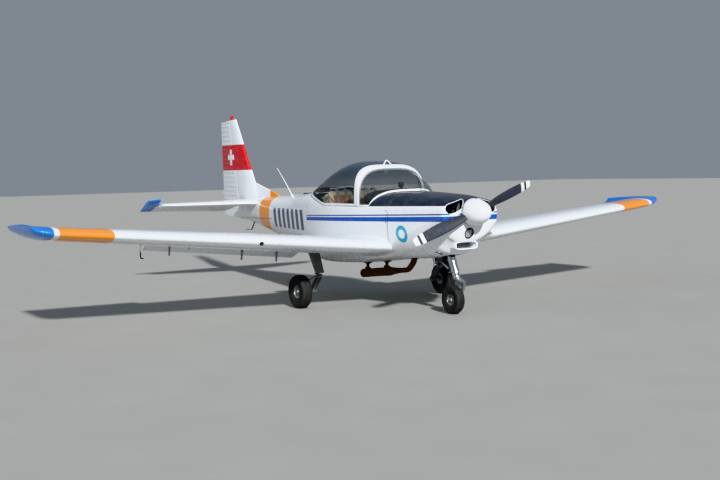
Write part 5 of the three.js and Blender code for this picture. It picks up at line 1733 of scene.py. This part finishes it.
def seat_cover():
    made = Finish("seat_cover", 0.55, 0.0, Sheen_Weight=0.25, Sheen_Roughness=0.5)
    from_middle = abs(abs(made.y) - SEAT_MIDDLE)
    back = DATUM - made.x
    grain = made.cells(420)
    creases = made.noise(55, 6, (1, 1, 0.6))
    cream = made.over((0.70, 0.61, 0.44), (creases * 2.0 - 0.7).clamp() * 0.35, (0.50, 0.42, 0.29))
    weave = (made.y * 1500).math("SINE", made.y * 1500) * (made.z * 1500).math("SINE", made.z * 1500)
    tan = made.over((0.50, 0.185, 0.060), (creases * 1.8 - 0.5).clamp() * 0.5, (0.33, 0.12, 0.05))
    tan = made.over(tan, (weave * 0.5 + 0.5).clamp() * 0.35, (0.62, 0.30, 0.12))
    middle = (from_middle < SEAM) & (made.z < 1.475) & (back < 2.62 + 0.3 * made.z)
    colour = made.over(cream, middle, tan)
    piping = (from_middle - SEAM).line(0.007) & (made.z < 1.477)
    colour = made.over(colour, piping, (0.28, 0.20, 0.12))
    made.drive("Base Color", colour)
    made.drive("Roughness", (creases * 0.3 + 0.38 + middle * 0.2).clamp())
    made.relief(grain * 0.5 + creases * 0.5 + weave * middle * 0.3, 0.0007, 0.7)
    return made


def webbing(name, colour, dark):
    made = Finish(name, 0.75, Sheen_Weight=0.2)
    ribs = (made.x * 2400 + made.z * 2400).math("SINE", made.x * 2400 + made.z * 2400)
    edge = made.noise(70, 4)
    made.drive("Base Color", made.over(made.over(colour, (ribs * 0.5 + 0.5).clamp() * 0.4, dark), edge * 0.25, dark))
    made.drive("Roughness", (edge * 0.2 + 0.62).clamp())
    made.relief(ribs * 0.5 + 0.5, 0.0006, 0.8)
    return made


SEAT_COVER = seat_cover()
BELT = webbing("belt_webbing", (0.50, 0.025, 0.02), (0.22, 0.01, 0.01))
PALE_BELT = webbing("pale_webbing", (0.42, 0.42, 0.43), (0.22, 0.22, 0.23))

# %% Inflated pads
def inflate(obj, held, most, voxel=0.0062, pressure=4.0, last=20):
    """Swells a closed pad with air. Points for which held is true stay, and none moves further than most."""
    modify(obj, "REMESH", mode="VOXEL", voxel_size=voxel)
    count = len(obj.data.vertices)
    before = np.empty(count * 3)
    obj.data.vertices.foreach_get("co", before)
    group = obj.vertex_groups.new(name="held")
    group.add([v.index for v in obj.data.vertices if held(v.co)], 1.0, "REPLACE")
    cloth = obj.modifiers.new("cloth", "CLOTH")
    cloth.settings.use_pressure = True
    cloth.settings.uniform_pressure_force = pressure
    cloth.settings.effector_weights.gravity = 0
    cloth.settings.vertex_group_mass = "held"
    cloth.point_cache.frame_start, cloth.point_cache.frame_end = 1, last
    for number in range(1, last + 1):
        bpy.context.scene.frame_set(number)
    settle(obj)
    after = np.empty(count * 3)
    obj.data.vertices.foreach_get("co", after)
    before, after = before.reshape(-1, 3), after.reshape(-1, 3)
    moved = np.linalg.norm(after - before, axis=1)[:, None]
    limited = before + (after - before) * np.minimum(1, most / np.maximum(moved, 1e-9))
    obj.data.vertices.foreach_set("co", limited.ravel())
    bpy.context.scene.frame_set(1)
    print(f"{obj.name} swelled by up to {moved.max() * 1000:.0f} mm, limited to {most * 1000:.0f} mm")
    modify(obj, "SMOOTH", factor=0.5, iterations=2)
    obj.vertex_groups.clear()
    return smooth(obj, 80)


def seat_back(name, middle):
    """The back from its foot to its rounded top. Columns: back, height, half width, half thickness."""
    spine = [(2.900, 0.965, 0.203, 0.028), (2.930, 1.05, 0.209, 0.038), (2.972, 1.18, 0.212, 0.044),
             (3.008, 1.30, 0.212, 0.046), (3.036, 1.40, 0.210, 0.046), (3.050, 1.45, 0.207, 0.045),
             (3.062, 1.49, 0.202, 0.044), (3.068, 1.52, 0.190, 0.036), (3.070, 1.538, 0.165, 0.022)]
    rows = []
    for back, height, wide, thick in spine:
        turns = np.linspace(0, 2 * math.pi, 48, endpoint=False)
        across, deep = rounded(turns, 4.0, 4.0)
        rows.append([(DATUM - back - d * thick, middle + a * wide, height - d * thick * 0.28)
                     for a, d in zip(across, deep)])
    pad = grid(name, rows, around=True, caps=True)

    def held(point):
        across = abs(point.y - middle)
        seam = abs(across - SEAM) < 0.006 and point.z < 1.475
        channel = across < SEAM and min(abs(point.z - z) for z in (1.10, 1.235, 1.37, 1.475)) < 0.005
        front = DATUM - point.x < 2.62 + 0.3 * point.z
        return ((seam or channel) and front) or point.z < 0.975

    return inflate(pad, held, 0.012)


def seat_cushion(name, middle):
    rows = []
    # Columns: back, lowest height, highest height, half width
    for back, low, high, wide in ((2.352, 0.885, 0.958, 0.192), (2.375, 0.858, 0.982, 0.207),
                                  (2.45, 0.845, 0.985, 0.212), (2.60, 0.838, 0.968, 0.213),
                                  (2.75, 0.835, 0.952, 0.212), (2.832, 0.838, 0.944, 0.210),
                                  (2.858, 0.855, 0.930, 0.200)):
        turns = np.linspace(0, 2 * math.pi, 48, endpoint=False)
        across, up = rounded(turns, 4.0, 4.0)
        centre, tall = (low + high) / 2, (high - low) / 2
        rows.append([(DATUM - back, middle + a * wide, centre + u * tall) for a, u in zip(across, up)])
    pad = grid(name, rows, around=True, caps=True)

    def held(point):
        across, back = abs(point.y - middle), DATUM - point.x
        seam = abs(across - SEAM) < 0.006
        channel = across < SEAM and min(abs(back - b) for b in (2.47, 2.60, 2.73)) < 0.005
        return ((seam or channel) and point.z > 0.92) or point.z < 0.85

    return inflate(pad, held, 0.010)


def mirror_copy(obj, name):
    copy = obj.copy()
    copy.data = obj.data.copy()
    copy.name = name
    bpy.context.scene.collection.objects.link(copy)
    copy.data.transform(Matrix.Scale(-1, 4, (0, 1, 0)))
    copy.data.flip_normals()
    return copy


def strap(name, line, across, wide, finish, body="airframe", thickness=0.0022):
    """A flat strap along a line, with its width in a fixed direction."""
    line, across = np.asarray(line, float), np.asarray(across, float) / np.linalg.norm(across)
    along = np.gradient(line, axis=0)
    along /= np.linalg.norm(along, axis=1)[:, None]
    out = np.cross(along, across)
    rows = [[p - across * wide / 2 - o * thickness / 2, p + across * wide / 2 - o * thickness / 2,
             p + across * wide / 2 + o * thickness / 2, p - across * wide / 2 + o * thickness / 2]
            for p, o in zip(line, out)]
    return dress(soften(grid(name, rows, around=True, caps=True, sharp=50), 0.0008, 1, 50), body, finish)


def make_belts(label, side):
    middle = side * SEAT_MIDDLE
    for inner, name in ((0.068, "outer"), (-0.068, "inner")):
        y = middle + side * inner
        over = [(3.330, 1.33), (3.310, 1.40), (3.240, 1.475), (3.150, 1.530), (3.090, 1.563), (3.040, 1.552),
                (3.010, 1.50), (2.984, 1.40), (2.955, 1.29), (2.920, 1.16), (2.885, 1.06), (2.830, 0.985)]
        line = flowing([at(back, y - side * inner * 0.25 * max(0, 1.4 - z), z) for back, z in over], 60)
        strap(f"shoulder_belt_{name}_{label}", line, (0, 1, 0), 0.045, PALE_BELT)
    lap = [(2.885, 0.222, 0.90), (2.860, 0.214, 0.975), (2.80, 0.150, 1.004), (2.76, 0.06, 1.008), (2.75, 0.0, 1.010)]
    for name, way in (("outer", 1), ("inner", -1)):
        line = flowing([at(back, middle + way * side * out, z) for back, out, z in lap], 40)
        strap(f"lap_belt_{name}_{label}", line, (0.85, 0, 0.35), 0.045, BELT)
    buckle = block(f"belt_buckle_{label}", at(2.785, middle - 0.032, 1.006), at(2.715, middle + 0.032, 1.026), 0.006)
    dress(buckle, "airframe", CHROME)
    frame_low, frame_high = at(2.90, middle - 0.20, CABIN_FLOOR + 0.002), at(2.38, middle + 0.20, 0.838)
    dress(block(f"seat_base_{label}", frame_low, frame_high, 0.012), "airframe", BLACK_TRIM)
    wedge = [(3.020, 1.02), (3.150, 1.11), (3.292, 1.335), (3.284, 1.418), (3.205, 1.458), (3.120, 1.500),
             (3.090, 1.480), (3.062, 1.36)]
    outline = [(DATUM - back, height) for back, height in wedge]
    bolster = soften(plate(f"seat_bolster_{label}", outline, middle - 0.205, middle + 0.205), 0.022, 4)
    dress(bolster, "airframe", SEAT_COVER)


back_pad = seat_back("seat_back_port", SEAT_MIDDLE)
cushion_pad = seat_cushion("seat_cushion_port", SEAT_MIDDLE)
for pad, name in ((back_pad, "seat_back_starboard"), (cushion_pad, "seat_cushion_starboard")):
    copied = mirror_copy(pad, name)
    for one in (pad, copied):
        dress(one, "airframe", SEAT_COVER)
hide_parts("seat_port")
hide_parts("seat_starboard")
for label, side in SIDES:
    make_belts(label, side)

# %% [markdown]
# ## Wheels
# A tyre is a turned profile with grooves cut round its tread. The wheel inside is two bolted halves with a hub,
# and the main wheels carry a brake disc on the inner side. Everything here turns about the axle, apart from
# the brake's caliper, which stays on the arm.

# %% Tyres and wheels
def tyre_profile(radius, width, rim_radius):
    half = width / 2
    wall = [(rim_radius + 0.001, half * 0.62), (rim_radius + 0.006, half * 0.70), (radius * 0.60, half * 0.90),
            (radius * 0.74, half * 0.975), (radius * 0.86, half * 0.99), (radius * 0.935, half * 0.86),
            (radius * 0.975, half * 0.64)]
    outer = flowing([(*p, 0) for p in wall], 22)[:, :2]
    tread = []
    for share in np.linspace(0.56, -0.56, 57):
        crown = radius - 0.05 * radius * abs(share) ** 2.6
        groove = min(abs(share - g) for g in (-0.46, -0.16, 0.16, 0.46)) < 0.022
        tread.append((crown - (0.0035 if groove else 0), share * half))
    side = [tuple(p) for p in outer]
    mirrored = [(r, -w) for r, w in reversed(side)]
    inner = [(rim_radius + 0.001, -half * 0.3), (rim_radius + 0.001, half * 0.3)]
    return side + tread + mirrored + inner


def ring_of(count, radius, start=0.0):
    return [(radius * math.cos(start + 2 * math.pi * i / count), radius * math.sin(start + 2 * math.pi * i / count))
            for i in range(count)]


def make_wheel(label, centre, radius, width, rim_radius, outer_side, body, bolts=6):
    axis = (0, outer_side, 0)
    tyre = turned(f"{label}_tyre_rubber", tyre_profile(radius, width, rim_radius), centre, axis, 96, 28, ring=True)
    dress(tyre, body, RUBBER, f"{label}_tyre")
    half, edge = width / 2, rim_radius
    bore = 0.024
    dish = [(bore, -half * 0.55), (bore, half * 0.58), (edge * 0.30, half * 0.58), (edge * 0.33, half * 0.52),
            (edge * 0.36, half * 0.40), (edge * 0.66, half * 0.34), (edge * 0.80, half * 0.37),
            (edge * 0.90, half * 0.50), (edge * 0.955, half * 0.64), (edge * 1.0, half * 0.645),
            (edge * 1.0, half * 0.56), (edge * 0.975, half * 0.50), (edge * 0.975, -half * 0.50),
            (edge * 1.0, -half * 0.56), (edge * 1.0, -half * 0.645), (edge * 0.955, -half * 0.64),
            (edge * 0.90, -half * 0.50), (edge * 0.40, -half * 0.42), (edge * 0.33, -half * 0.55)]
    hub = turned(f"{label}_wheel_halves", dish, centre, axis, 72, 32, ring=True)
    for y, z in ring_of(bolts, edge * 0.56, 0.4):
        start = Vector(centre) + Vector((y, -outer_side * half, z))
        end = Vector(centre) + Vector((y, outer_side * half, z))
        if label != "nose":
            combine(hub, rod("cutter", start, end, edge * 0.085, 20, 0.01), sharp=32)
    dress(hub, body, ALLOY, f"{label}_rim")
    heads = []
    for y, z in ring_of(bolts, edge * 0.74, 0.4 + math.pi / bolts):
        spot = Vector(centre) + Vector((y, outer_side * half * 0.355, z))
        heads.append(turned("nut", [(0.0075, 0), (0.0075, 0.006), (0.0065, 0.007), (0.004, 0.007), (0.004, 0.012), (0, 0.012)],
                            spot, axis, 6, 20))
    valve = Vector(centre) + Vector((0.0, outer_side * half * 0.36, edge * 0.82))
    heads.append(rod("valve", valve, valve + Vector((0, outer_side * 0.026, 0)), 0.0035, 10))
    dress(join(f"{label}_wheel_bolts", heads), body, PLAIN_STEEL)
    cap = [(edge * 0.29, half * 0.575), (edge * 0.27, half * 0.66), (edge * 0.16, half * 0.70), (0, half * 0.71)]
    dress(turned(f"{label}_hub_cap", cap, centre, axis, 32), body, WHITE_METAL if label == "nose" else PLAIN_STEEL)


MAIN_AXLE, NOSE_AXLE = 2.600, 0.820
MAIN_OUT = 1.190
MAIN_WHEEL_RADIUS, NOSE_WHEEL_RADIUS = 0.2225, 0.180
for label, side in SIDES:
    middle = at(MAIN_AXLE, side * MAIN_OUT, MAIN_WHEEL_RADIUS)
    make_wheel(f"main_{label}", middle, MAIN_WHEEL_RADIUS, 0.152, 0.088, side, f"{label}_wheel")
    disc = [(0.030, -0.072), (0.079, -0.072), (0.080, -0.070), (0.080, -0.0665), (0.079, -0.0645), (0.030, -0.0645)]
    dress(turned(f"main_{label}_brake_disc", disc, middle, (0, side, 0), 60, ring=True), f"{label}_wheel", PLAIN_STEEL)
make_wheel("nose", at(NOSE_AXLE, 0, NOSE_WHEEL_RADIUS), NOSE_WHEEL_RADIUS, 0.122, 0.072, -1, "nose_wheel", 5)

# %% [markdown]
# ## Main legs
# Each main wheel hangs on a trailing arm below a sheet-steel leg, and rubber blocks behind the leg take the
# shock. The leg is a folded box that narrows towards its knee. At the knee a bolt carries the arm, and the arm
# is a forked plate, so the leg and the arm read as two parts and not as one bent bar.

# %% Legs and trailing arms
def sheet_box(name, stations, side_step, count=40, squareness=6.0):
    """A folded box along a line. Columns: back, out, height, half length along X, half width."""
    rows = []
    for back, out, height, long, wide in stations:
        turns = np.linspace(0, 2 * math.pi, count, endpoint=False)
        a, b = rounded(turns, squareness, squareness)
        rows.append([at(back + p * long, side_step * out + q * wide, height) for p, q in zip(a, b)])
    return grid(name, rows, around=True, caps=True, sharp=40)


def make_main_leg(label, side):
    stations = [(2.598, 0.995, 0.840, 0.070, 0.064), (2.540, 0.995, 0.715, 0.065, 0.059),
                (2.500, 0.995, 0.640, 0.062, 0.056), (2.455, 0.995, 0.560, 0.058, 0.052),
                (2.424, 0.995, 0.505, 0.052, 0.048), (2.412, 0.995, 0.470, 0.040, 0.038)]
    leg = sheet_box(f"leg_box_{label}", stations, side)
    combine(leg, grid("cutter", [foil_ring(WING, out, side) for out in (0.80, 1.25)], around=True, caps=True))
    soften(leg, 0.002, 2)
    dress(leg, "airframe", GREY_STEEL, f"main_leg_{label}")
    flange = on_wing(0.995, side, 0.53)
    outline = [(DATUM - 2.648, side * 0.925), (DATUM - 2.478, side * 0.925), (DATUM - 2.478, side * 1.065),
               (DATUM - 2.648, side * 1.065)]
    sole = plate(f"leg_sole_{label}", outline, flange[2] - 0.014, flange[2] + 0.012, "Z")
    combine(sole, grid("cutter", [foil_ring(WING, out, side) for out in (0.80, 1.25)], around=True, caps=True))
    dress(soften(sole, 0.003, 2), "airframe", GREY_STEEL)
    bits = [rod("bolt", at(2.412, side * 0.936, 0.486), at(2.412, side * 1.056, 0.486), 0.014, 24),
            rod("head", at(2.412, side * 0.930, 0.486), at(2.412, side * 0.942, 0.486), 0.021, 6),
            rod("nut", at(2.412, side * 1.050, 0.486), at(2.412, side * 1.064, 0.486), 0.020, 6)]
    for back, z in ((2.455, 0.585), (2.500, 0.665)):
        bits.append(rod("rivet", at(back, side * 0.936, z), at(back, side * 1.056, z), 0.008, 16))
    dress(join(f"knee_bolts_{label}", bits), "airframe", PLAIN_STEEL)
    blocks = []
    for k in range(4):
        spot = at(2.474 + 0.0075 * k, side * 0.995, 0.452 + 0.030 * k)
        profile = [(0.010, 0), (0.030, 0.002), (0.034, 0.010), (0.034, 0.016), (0.030, 0.024), (0.010, 0.026)]
        blocks.append(turned("puck", profile, spot, (-0.25, 0, 1), 28))
    dress(join(f"rubber_blocks_{label}", blocks), "airframe", RUBBER)


def make_main_arm(label, side):
    arm_out = 0.995
    pieces = []
    for y in (arm_out - 0.021, arm_out + 0.021):
        outline = [(2.388, 0.448), (2.400, 0.456), (2.424, 0.452), (2.486, 0.408), (2.634, 0.246), (2.636, 0.214),
                   (2.612, 0.196), (2.584, 0.204), (2.424, 0.374), (2.392, 0.412)]
        arm_plate = plate("arm_plate", [(DATUM - b, z) for b, z in outline], side * y - 0.005, side * y + 0.005)
        pieces.append(soften(arm_plate, 0.002, 2))
    web = sheet_box("web", [(2.430, arm_out, 0.420, 0.020, 0.018), (2.600, arm_out, 0.2225, 0.020, 0.018)], side, 24)
    pieces.append(web)
    for back, z, radius in ((2.412, 0.432, 0.026), (2.600, 0.2225, 0.030)):
        pieces.append(rod("boss", at(back, side * (arm_out - 0.030), z), at(back, side * (arm_out + 0.030), z), radius, 28))
    dress(join(f"arm_fork_{label}", pieces), "airframe", GREY_STEEL, f"main_arm_{label}")
    axle = [rod("axle", at(MAIN_AXLE, side * 0.962, MAIN_WHEEL_RADIUS), at(MAIN_AXLE, side * (MAIN_OUT + 0.055), MAIN_WHEEL_RADIUS),
                0.019, 32)]
    axle.append(rod("nut", at(MAIN_AXLE, side * 0.946, MAIN_WHEEL_RADIUS), at(MAIN_AXLE, side * 0.966, MAIN_WHEEL_RADIUS),
                    0.026, 6))
    axle.append(rod("pivot", at(2.412, side * 0.950, 0.432), at(2.412, side * 1.040, 0.432), 0.012, 20))
    dress(join(f"axle_{label}", axle), "airframe", PLAIN_STEEL)
    plane = side * (MAIN_OUT - 0.086)
    caliper = block(f"brake_caliper_{label}", at(2.700, plane - 0.014, 0.235), at(2.655, plane + 0.014, 0.290), 0.006)
    dress(caliper, "airframe", ALLOY)
    bracket = plate(f"caliper_bracket_{label}", [(DATUM - 2.600, 0.190), (DATUM - 2.692, 0.240), (DATUM - 2.692, 0.284),
                                                 (DATUM - 2.590, 0.255)], plane - side * 0.018 - 0.003,
                    plane - side * 0.018 + 0.003)
    dress(bracket, "airframe", GREY_STEEL)
    route = [(2.678, 1.098, 0.286), (2.655, 1.070, 0.345), (2.570, 1.000, 0.400), (2.500, 0.955, 0.475),
             (2.520, 0.930, 0.580), (2.575, 0.928, 0.690), (2.585, 0.950, 0.742)]
    hose = tube(f"brake_hose_{label}", flowing([at(b, side * y, z) for b, y, z in route], 60), 0.0048, 10)
    dress(hose, "airframe", HOSE)


for label, side in SIDES:
    make_main_leg(label, side)
    make_main_arm(label, side)

# %% [markdown]
# ## Nose leg
# The nose leg is a bright telescopic tube that slopes forwards, with a dark mount behind it. Below it a
# half-fork passes the tyre on its port side and carries the axle. Two pairs of small lugs stand out from the strut.

# %% Strut and half fork
def along_strut(share, forward=0.0, side=0.0):
    """A point on the strut's axis, from 0 at its top to 1 at its lower end, moved forwards or sideways."""
    top, low = np.array(at(0.868, 0, 0.780)), np.array(at(0.748, 0, 0.490))
    way = (low - top) / np.linalg.norm(low - top)
    ahead = np.array([-way[2], 0, way[0]])
    return top + (low - top) * share + ahead * forward + np.array([0, side, 0])


def make_nose_strut():
    top, low = along_strut(0), along_strut(1)
    way = low - top
    length = float(np.linalg.norm(way))
    sleeve = [(0.050, 0.0), (0.051, 0.010), (0.051, 0.120), (0.055, 0.124), (0.056, 0.130), (0.056, 0.150), (0.055, 0.156),
              (0.051, 0.158), (0.051, 0.232), (0.055, 0.236), (0.056, 0.242), (0.056, 0.262), (0.055, 0.268), (0.048, 0.272),
              (0.047, length - 0.012), (0.045, length)]
    dress(turned("strut_sleeve", sleeve, top, way, 48), "airframe", CHROME, "nose_strut")
    bits = []
    for share in (0.45, 0.80):
        for side in (-1, 1):
            start = along_strut(share, -0.038, side * 0.040)
            bits.append(rod("lug", start, start - along_strut(share, 0) + along_strut(share, -0.034), 0.010, 16))
    dress(join("strut_lugs", bits), "airframe", PLAIN_STEEL)
    mount = []
    for side in (-1, 1):
        outline = [(0.900, 0.770), (0.985, 0.770), (0.960, 0.665), (0.845, 0.560), (0.800, 0.535), (0.790, 0.560),
                   (0.838, 0.640)]
        wall = plate("wall", [(DATUM - b, z) for b, z in outline], side * 0.050 - 0.004, side * 0.050 + 0.004)
        mount.append(soften(wall, 0.002, 2))
    mount.append(rod("cross", at(0.815, -0.060, 0.555), at(0.815, 0.060, 0.555), 0.011, 16))
    mount.append(rod("cross", at(0.925, -0.054, 0.700), at(0.925, 0.054, 0.700), 0.014, 16))
    dress(join("strut_mount", mount), "airframe", BLACK_TRIM)
    for side, name in ((1, "port"), (-1, "starboard")):
        brace = rod(f"strut_brace_{name}", at(1.090, side * 0.085, 0.730), at(0.835, side * 0.056, 0.570), 0.011, 16)
        dress(brace, "airframe", GREY_STEEL)


def make_nose_fork():
    neck = [along_strut(1.004), along_strut(1.06), np.array(at(0.722, 0.004, 0.446)), np.array(at(0.716, 0.040, 0.424)),
            np.array(at(0.714, 0.078, 0.404)), np.array(at(0.722, 0.096, 0.368)), np.array(at(0.752, 0.098, 0.300)),
            np.array(at(0.795, 0.097, 0.220)), np.array(at(0.820, 0.096, 0.180))]
    radii = np.interp(np.linspace(0, 1, 60), [0, 0.12, 0.2, 0.35, 0.5, 0.7, 0.92, 1],
                      [0.030, 0.032, 0.033, 0.029, 0.025, 0.023, 0.023, 0.026])
    arm = tube("fork_arm", flowing(neck, 60), radii, 28)
    dress(arm, "nose_fork", ALLOY, "nose_fork")
    axle = [rod("axle", at(NOSE_AXLE, -0.050, NOSE_WHEEL_RADIUS), at(NOSE_AXLE, 0.118, NOSE_WHEEL_RADIUS), 0.019, 32),
            rod("boss", at(NOSE_AXLE, 0.068, NOSE_WHEEL_RADIUS), at(NOSE_AXLE, 0.120, NOSE_WHEEL_RADIUS), 0.030, 32),
            rod("nut", at(NOSE_AXLE, 0.118, NOSE_WHEEL_RADIUS), at(NOSE_AXLE, 0.128, NOSE_WHEEL_RADIUS), 0.022, 6)]
    dress(join("nose_axle", axle), "nose_fork", PLAIN_STEEL)
    crown = [(0.028, -0.006), (0.042, -0.004), (0.044, 0.004), (0.044, 0.020), (0.040, 0.028), (0.030, 0.030)]
    way = along_strut(1) - along_strut(0)
    dress(turned("fork_crown", crown, along_strut(1.03), way, 40), "nose_fork", CHROME)
    gaiter = [(0.034 + (0.004 if i % 2 else 0.0), 0.004 * i) for i in range(9)]
    dress(turned("strut_gaiter", gaiter, along_strut(0.895, 0.0), way, 36), "airframe", RUBBER_SEAL)


def make_exhaust():
    side = -0.170
    # Columns: back, height, radius
    route = [(1.392, 0.830, 0.036), (1.392, 0.740, 0.037), (1.393, 0.680, 0.038), (1.416, 0.626, 0.038),
             (1.460, 0.580, 0.038), (1.505, 0.542, 0.037), (1.555, 0.516, 0.035), (1.640, 0.503, 0.033),
             (1.729, 0.494, 0.034), (1.760, 0.4915, 0.035)]
    line = flowing([at(back, side, height) for back, height, _ in route], 80)
    radii = np.interp(line[:, 0], [DATUM - back for back, _, _ in reversed(route)], [r for _, _, r in reversed(route)])
    dress(tube("exhaust_pipe", line, radii, 32), "airframe", RUST, "exhaust")
    start, end = np.array(at(1.740, side, 0.4925)), np.array(at(2.620, side, 0.395))
    way = end - start
    length = float(np.linalg.norm(way))
    body = [(0.034, 0.0), (0.0375, 0.006), (0.0375, 0.020), (0.037, 0.026), (0.046, 0.120), (0.055, 0.195),
            (0.0575, 0.212), (0.0600, 0.215), (0.0600, 0.225), (0.0575, 0.228), (0.0575, 0.268), (0.0598, 0.271),
            (0.0598, 0.331), (0.0575, 0.334), (0.0575, 0.740), (0.0598, 0.743), (0.0598, 0.803), (0.0575, 0.806),
            (0.0575, length - 0.020), (0.0595, length - 0.018), (0.0595, length - 0.008), (0.052, length - 0.002),
            (0.034, length), (0.033, length - 0.020), (0.0, length - 0.020)]
    dress(turned("muffler", body, start, way, 48), "airframe", RUST)
    flange = turned("exhaust_flange", [(0.037, -0.008), (0.052, -0.008), (0.053, 0.0), (0.052, 0.008), (0.037, 0.008)],
                    at(1.392, side, 0.735), (0, 0, 1), 32, ring=True)
    dress(flange, "airframe", RUST)
    for name, middle in (("front", 2.035), ("rear", 2.505)):
        top = read_table(BODY, middle)[4]
        axis = 0.472 - (middle - 1.940) * 0.1132
        low = axis + 0.060
        waist = (top + low) / 2
        outline = [(-0.060, top + 0.016), (0.060, top + 0.016), (0.058, top - 0.006), (0.036, top - 0.014),
                   (0.020, waist + 0.008), (0.020, waist - 0.008), (0.036, low + 0.010), (0.058, low + 0.002),
                   (0.056, axis + 0.030), (-0.056, axis + 0.030), (-0.058, low + 0.002), (-0.036, low + 0.010),
                   (-0.020, waist - 0.008), (-0.020, waist + 0.008), (-0.036, top - 0.014), (-0.058, top - 0.006)]
        bits = []
        for y in (side - 0.009, side + 0.009):
            web = plate("web", [(DATUM - middle - b, z) for b, z in outline], y - 0.0025, y + 0.0025)
            bits.append(soften(web, 0.001, 1))
        bits.append(block("shoe", at(middle + 0.058, side - 0.040, top - 0.004), at(middle - 0.058, side + 0.040, top + 0.012),
                          0.003))
        for sign in (-1, 1):
            bits.append(rod("bolt", at(middle + sign * 0.044, side - 0.018, low + 0.012),
                            at(middle + sign * 0.044, side + 0.018, low + 0.012), 0.007, 6))
        dress(join(f"muffler_hanger_{name}", bits), "airframe", RUST, f"exhaust_hanger_{name}")


make_nose_strut()
make_nose_fork()
make_exhaust()

# %% [markdown]
# ## Aerials, beacon and tail
# The small things on the back of the body finish the outline: a whip aerial that leans aft, a red beacon on the
# fin, a bent black skid under the tail, and a small lamp at the rudder's end.

# %% Small parts aft
def make_beacon():
    low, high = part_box("beacon")
    middle = ((low.x + high.x) / 2, 0, low.z)
    lens = [(0.024, 0.022), (0.026, 0.030), (0.026, 0.056), (0.022, 0.072), (0.014, 0.084), (0.006, 0.089), (0, 0.0898)]
    dress(turned("beacon_lens", lens, middle, (0, 0, 1), 36), "airframe", RED_LENS, "beacon")
    base = [(0.018, -0.004), (0.019, 0.006), (0.030, 0.011), (0.029, 0.020), (0.025, 0.025), (0.012, 0.027), (0.009, 0.066), (0, 0.070)]
    dress(turned("beacon_base", base, middle, (0, 0, 1), 36), "airframe", RED_PAINT)


def make_whip():
    start, end = np.array(at(4.602, -0.180, 1.450)), np.array(at(5.076, -0.180, 1.880))
    line = flowing([start, start * 0.5 + end * 0.5 + (0.008, 0, 0.005), end], 40)
    dress(tube("whip_aerial", line, np.linspace(0.0072, 0.0040, 40), 12), "airframe", WHITE_METAL,
          "whip_antenna")
    foot = [(0.022, -0.012), (0.022, 0.002), (0.016, 0.008), (0.011, 0.030), (0.008, 0.040), (0, 0.040)]
    dress(turned("whip_foot", foot, start + (0.004, 0, -0.002), (-0.62, -0.2, 0.75), 28), "airframe", WHITE_METAL)


def make_skid():
    line = [(6.270, 0.990), (6.300, 0.965), (6.352, 0.905), (6.395, 0.858), (6.430, 0.848), (6.520, 0.846), (6.612, 0.848)]
    strap("skid_strip", flowing([at(b, 0, z) for b, z in line], 50), (0, 1, 0), 0.018, BLACK_TRIM, thickness=0.008)
    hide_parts("tail_skid")
    foot = block("skid_foot", at(6.330, -0.016, 0.978), at(6.262, 0.016, 1.000), 0.004)
    dress(foot, "airframe", GREY_STEEL)


def make_tail_lamp():
    lens = [(0.0, -0.012), (0.014, -0.010), (0.016, 0.0), (0.013, 0.012), (0.0, 0.018)]
    dress(turned("tail_lamp", lens, at(7.478, 0, 1.480), (-1, 0, 0.08), 24), "rudder", CLEAR_LENS)


RED_PAINT = grained("red_paint", (0.55, 0.012, 0.012), (0.30, 0.02, 0.02), 0.35, 0.0, 60, 0.3)
make_beacon()
make_whip()
make_skid()
make_tail_lamp()

# %% Floor, light, sky and camera
EYE = (13.150, -7.788, 1.818)
YAW, PITCH, ROLL = math.radians(147.676), math.radians(-3.885), math.radians(-1.280)
FOCAL_SHARE = 1027.4 / 720
SENSOR = 36.0


def make_camera():
    look = Vector((math.cos(YAW) * math.cos(PITCH), math.sin(YAW) * math.cos(PITCH), math.sin(PITCH)))
    right = look.cross(Vector((0, 0, 1))).normalized()
    up = right.cross(look)
    across = right * math.cos(ROLL) + up * math.sin(ROLL)
    upright = up * math.cos(ROLL) - right * math.sin(ROLL)
    lens = bpy.data.cameras.new("camera")
    lens.sensor_width, lens.lens = SENSOR, SENSOR * FOCAL_SHARE
    lens.clip_end = 500
    camera = bpy.data.objects.new("camera", lens)
    turn = Matrix((across, upright, -look)).transposed().to_4x4()
    camera.matrix_world = Matrix.Translation(EYE) @ turn
    bpy.context.scene.collection.objects.link(camera)
    bpy.context.scene.camera = camera
    print("lens of", round(lens.lens, 1), "mm")


def make_floor():
    size = 90.0
    floor = new_object("floor", [(-size, -size, 0), (size, -size, 0), (size, size, 0), (-size, size, 0)], [(0, 1, 2, 3)])
    ground = Finish("pale_floor", 0.8)
    ground.drive("Base Color", ground.over((0.36, 0.36, 0.34), ground.noise(1.5, 6), (0.40, 0.40, 0.38)))
    floor.data.materials.append(ground.made)


def make_lights():
    world = bpy.data.worlds.new("studio")
    world.use_nodes = True
    world.node_tree.nodes["Background"].inputs[0].default_value = (0.72, 0.80, 0.92, 1)
    world.node_tree.nodes["Background"].inputs[1].default_value = 0.35
    bpy.context.scene.world = world
    lamps = (("key", (-1.7, 0.5, -1.0), 5.2, 3), ("fill", (0.5, 0.8, -0.5), 0.25, 30))
    for name, way, strength, blur in lamps:
        lamp = bpy.data.lights.new(name, "SUN")
        lamp.energy, lamp.angle = strength, math.radians(blur)
        obj = bpy.data.objects.new(name, lamp)
        obj.rotation_euler = Vector(way).to_track_quat("-Z", "Y").to_euler()
        bpy.context.scene.collection.objects.link(obj)
    bpy.context.scene.view_settings.view_transform = "Khronos PBR Neutral"


make_camera()
make_floor()
make_lights()
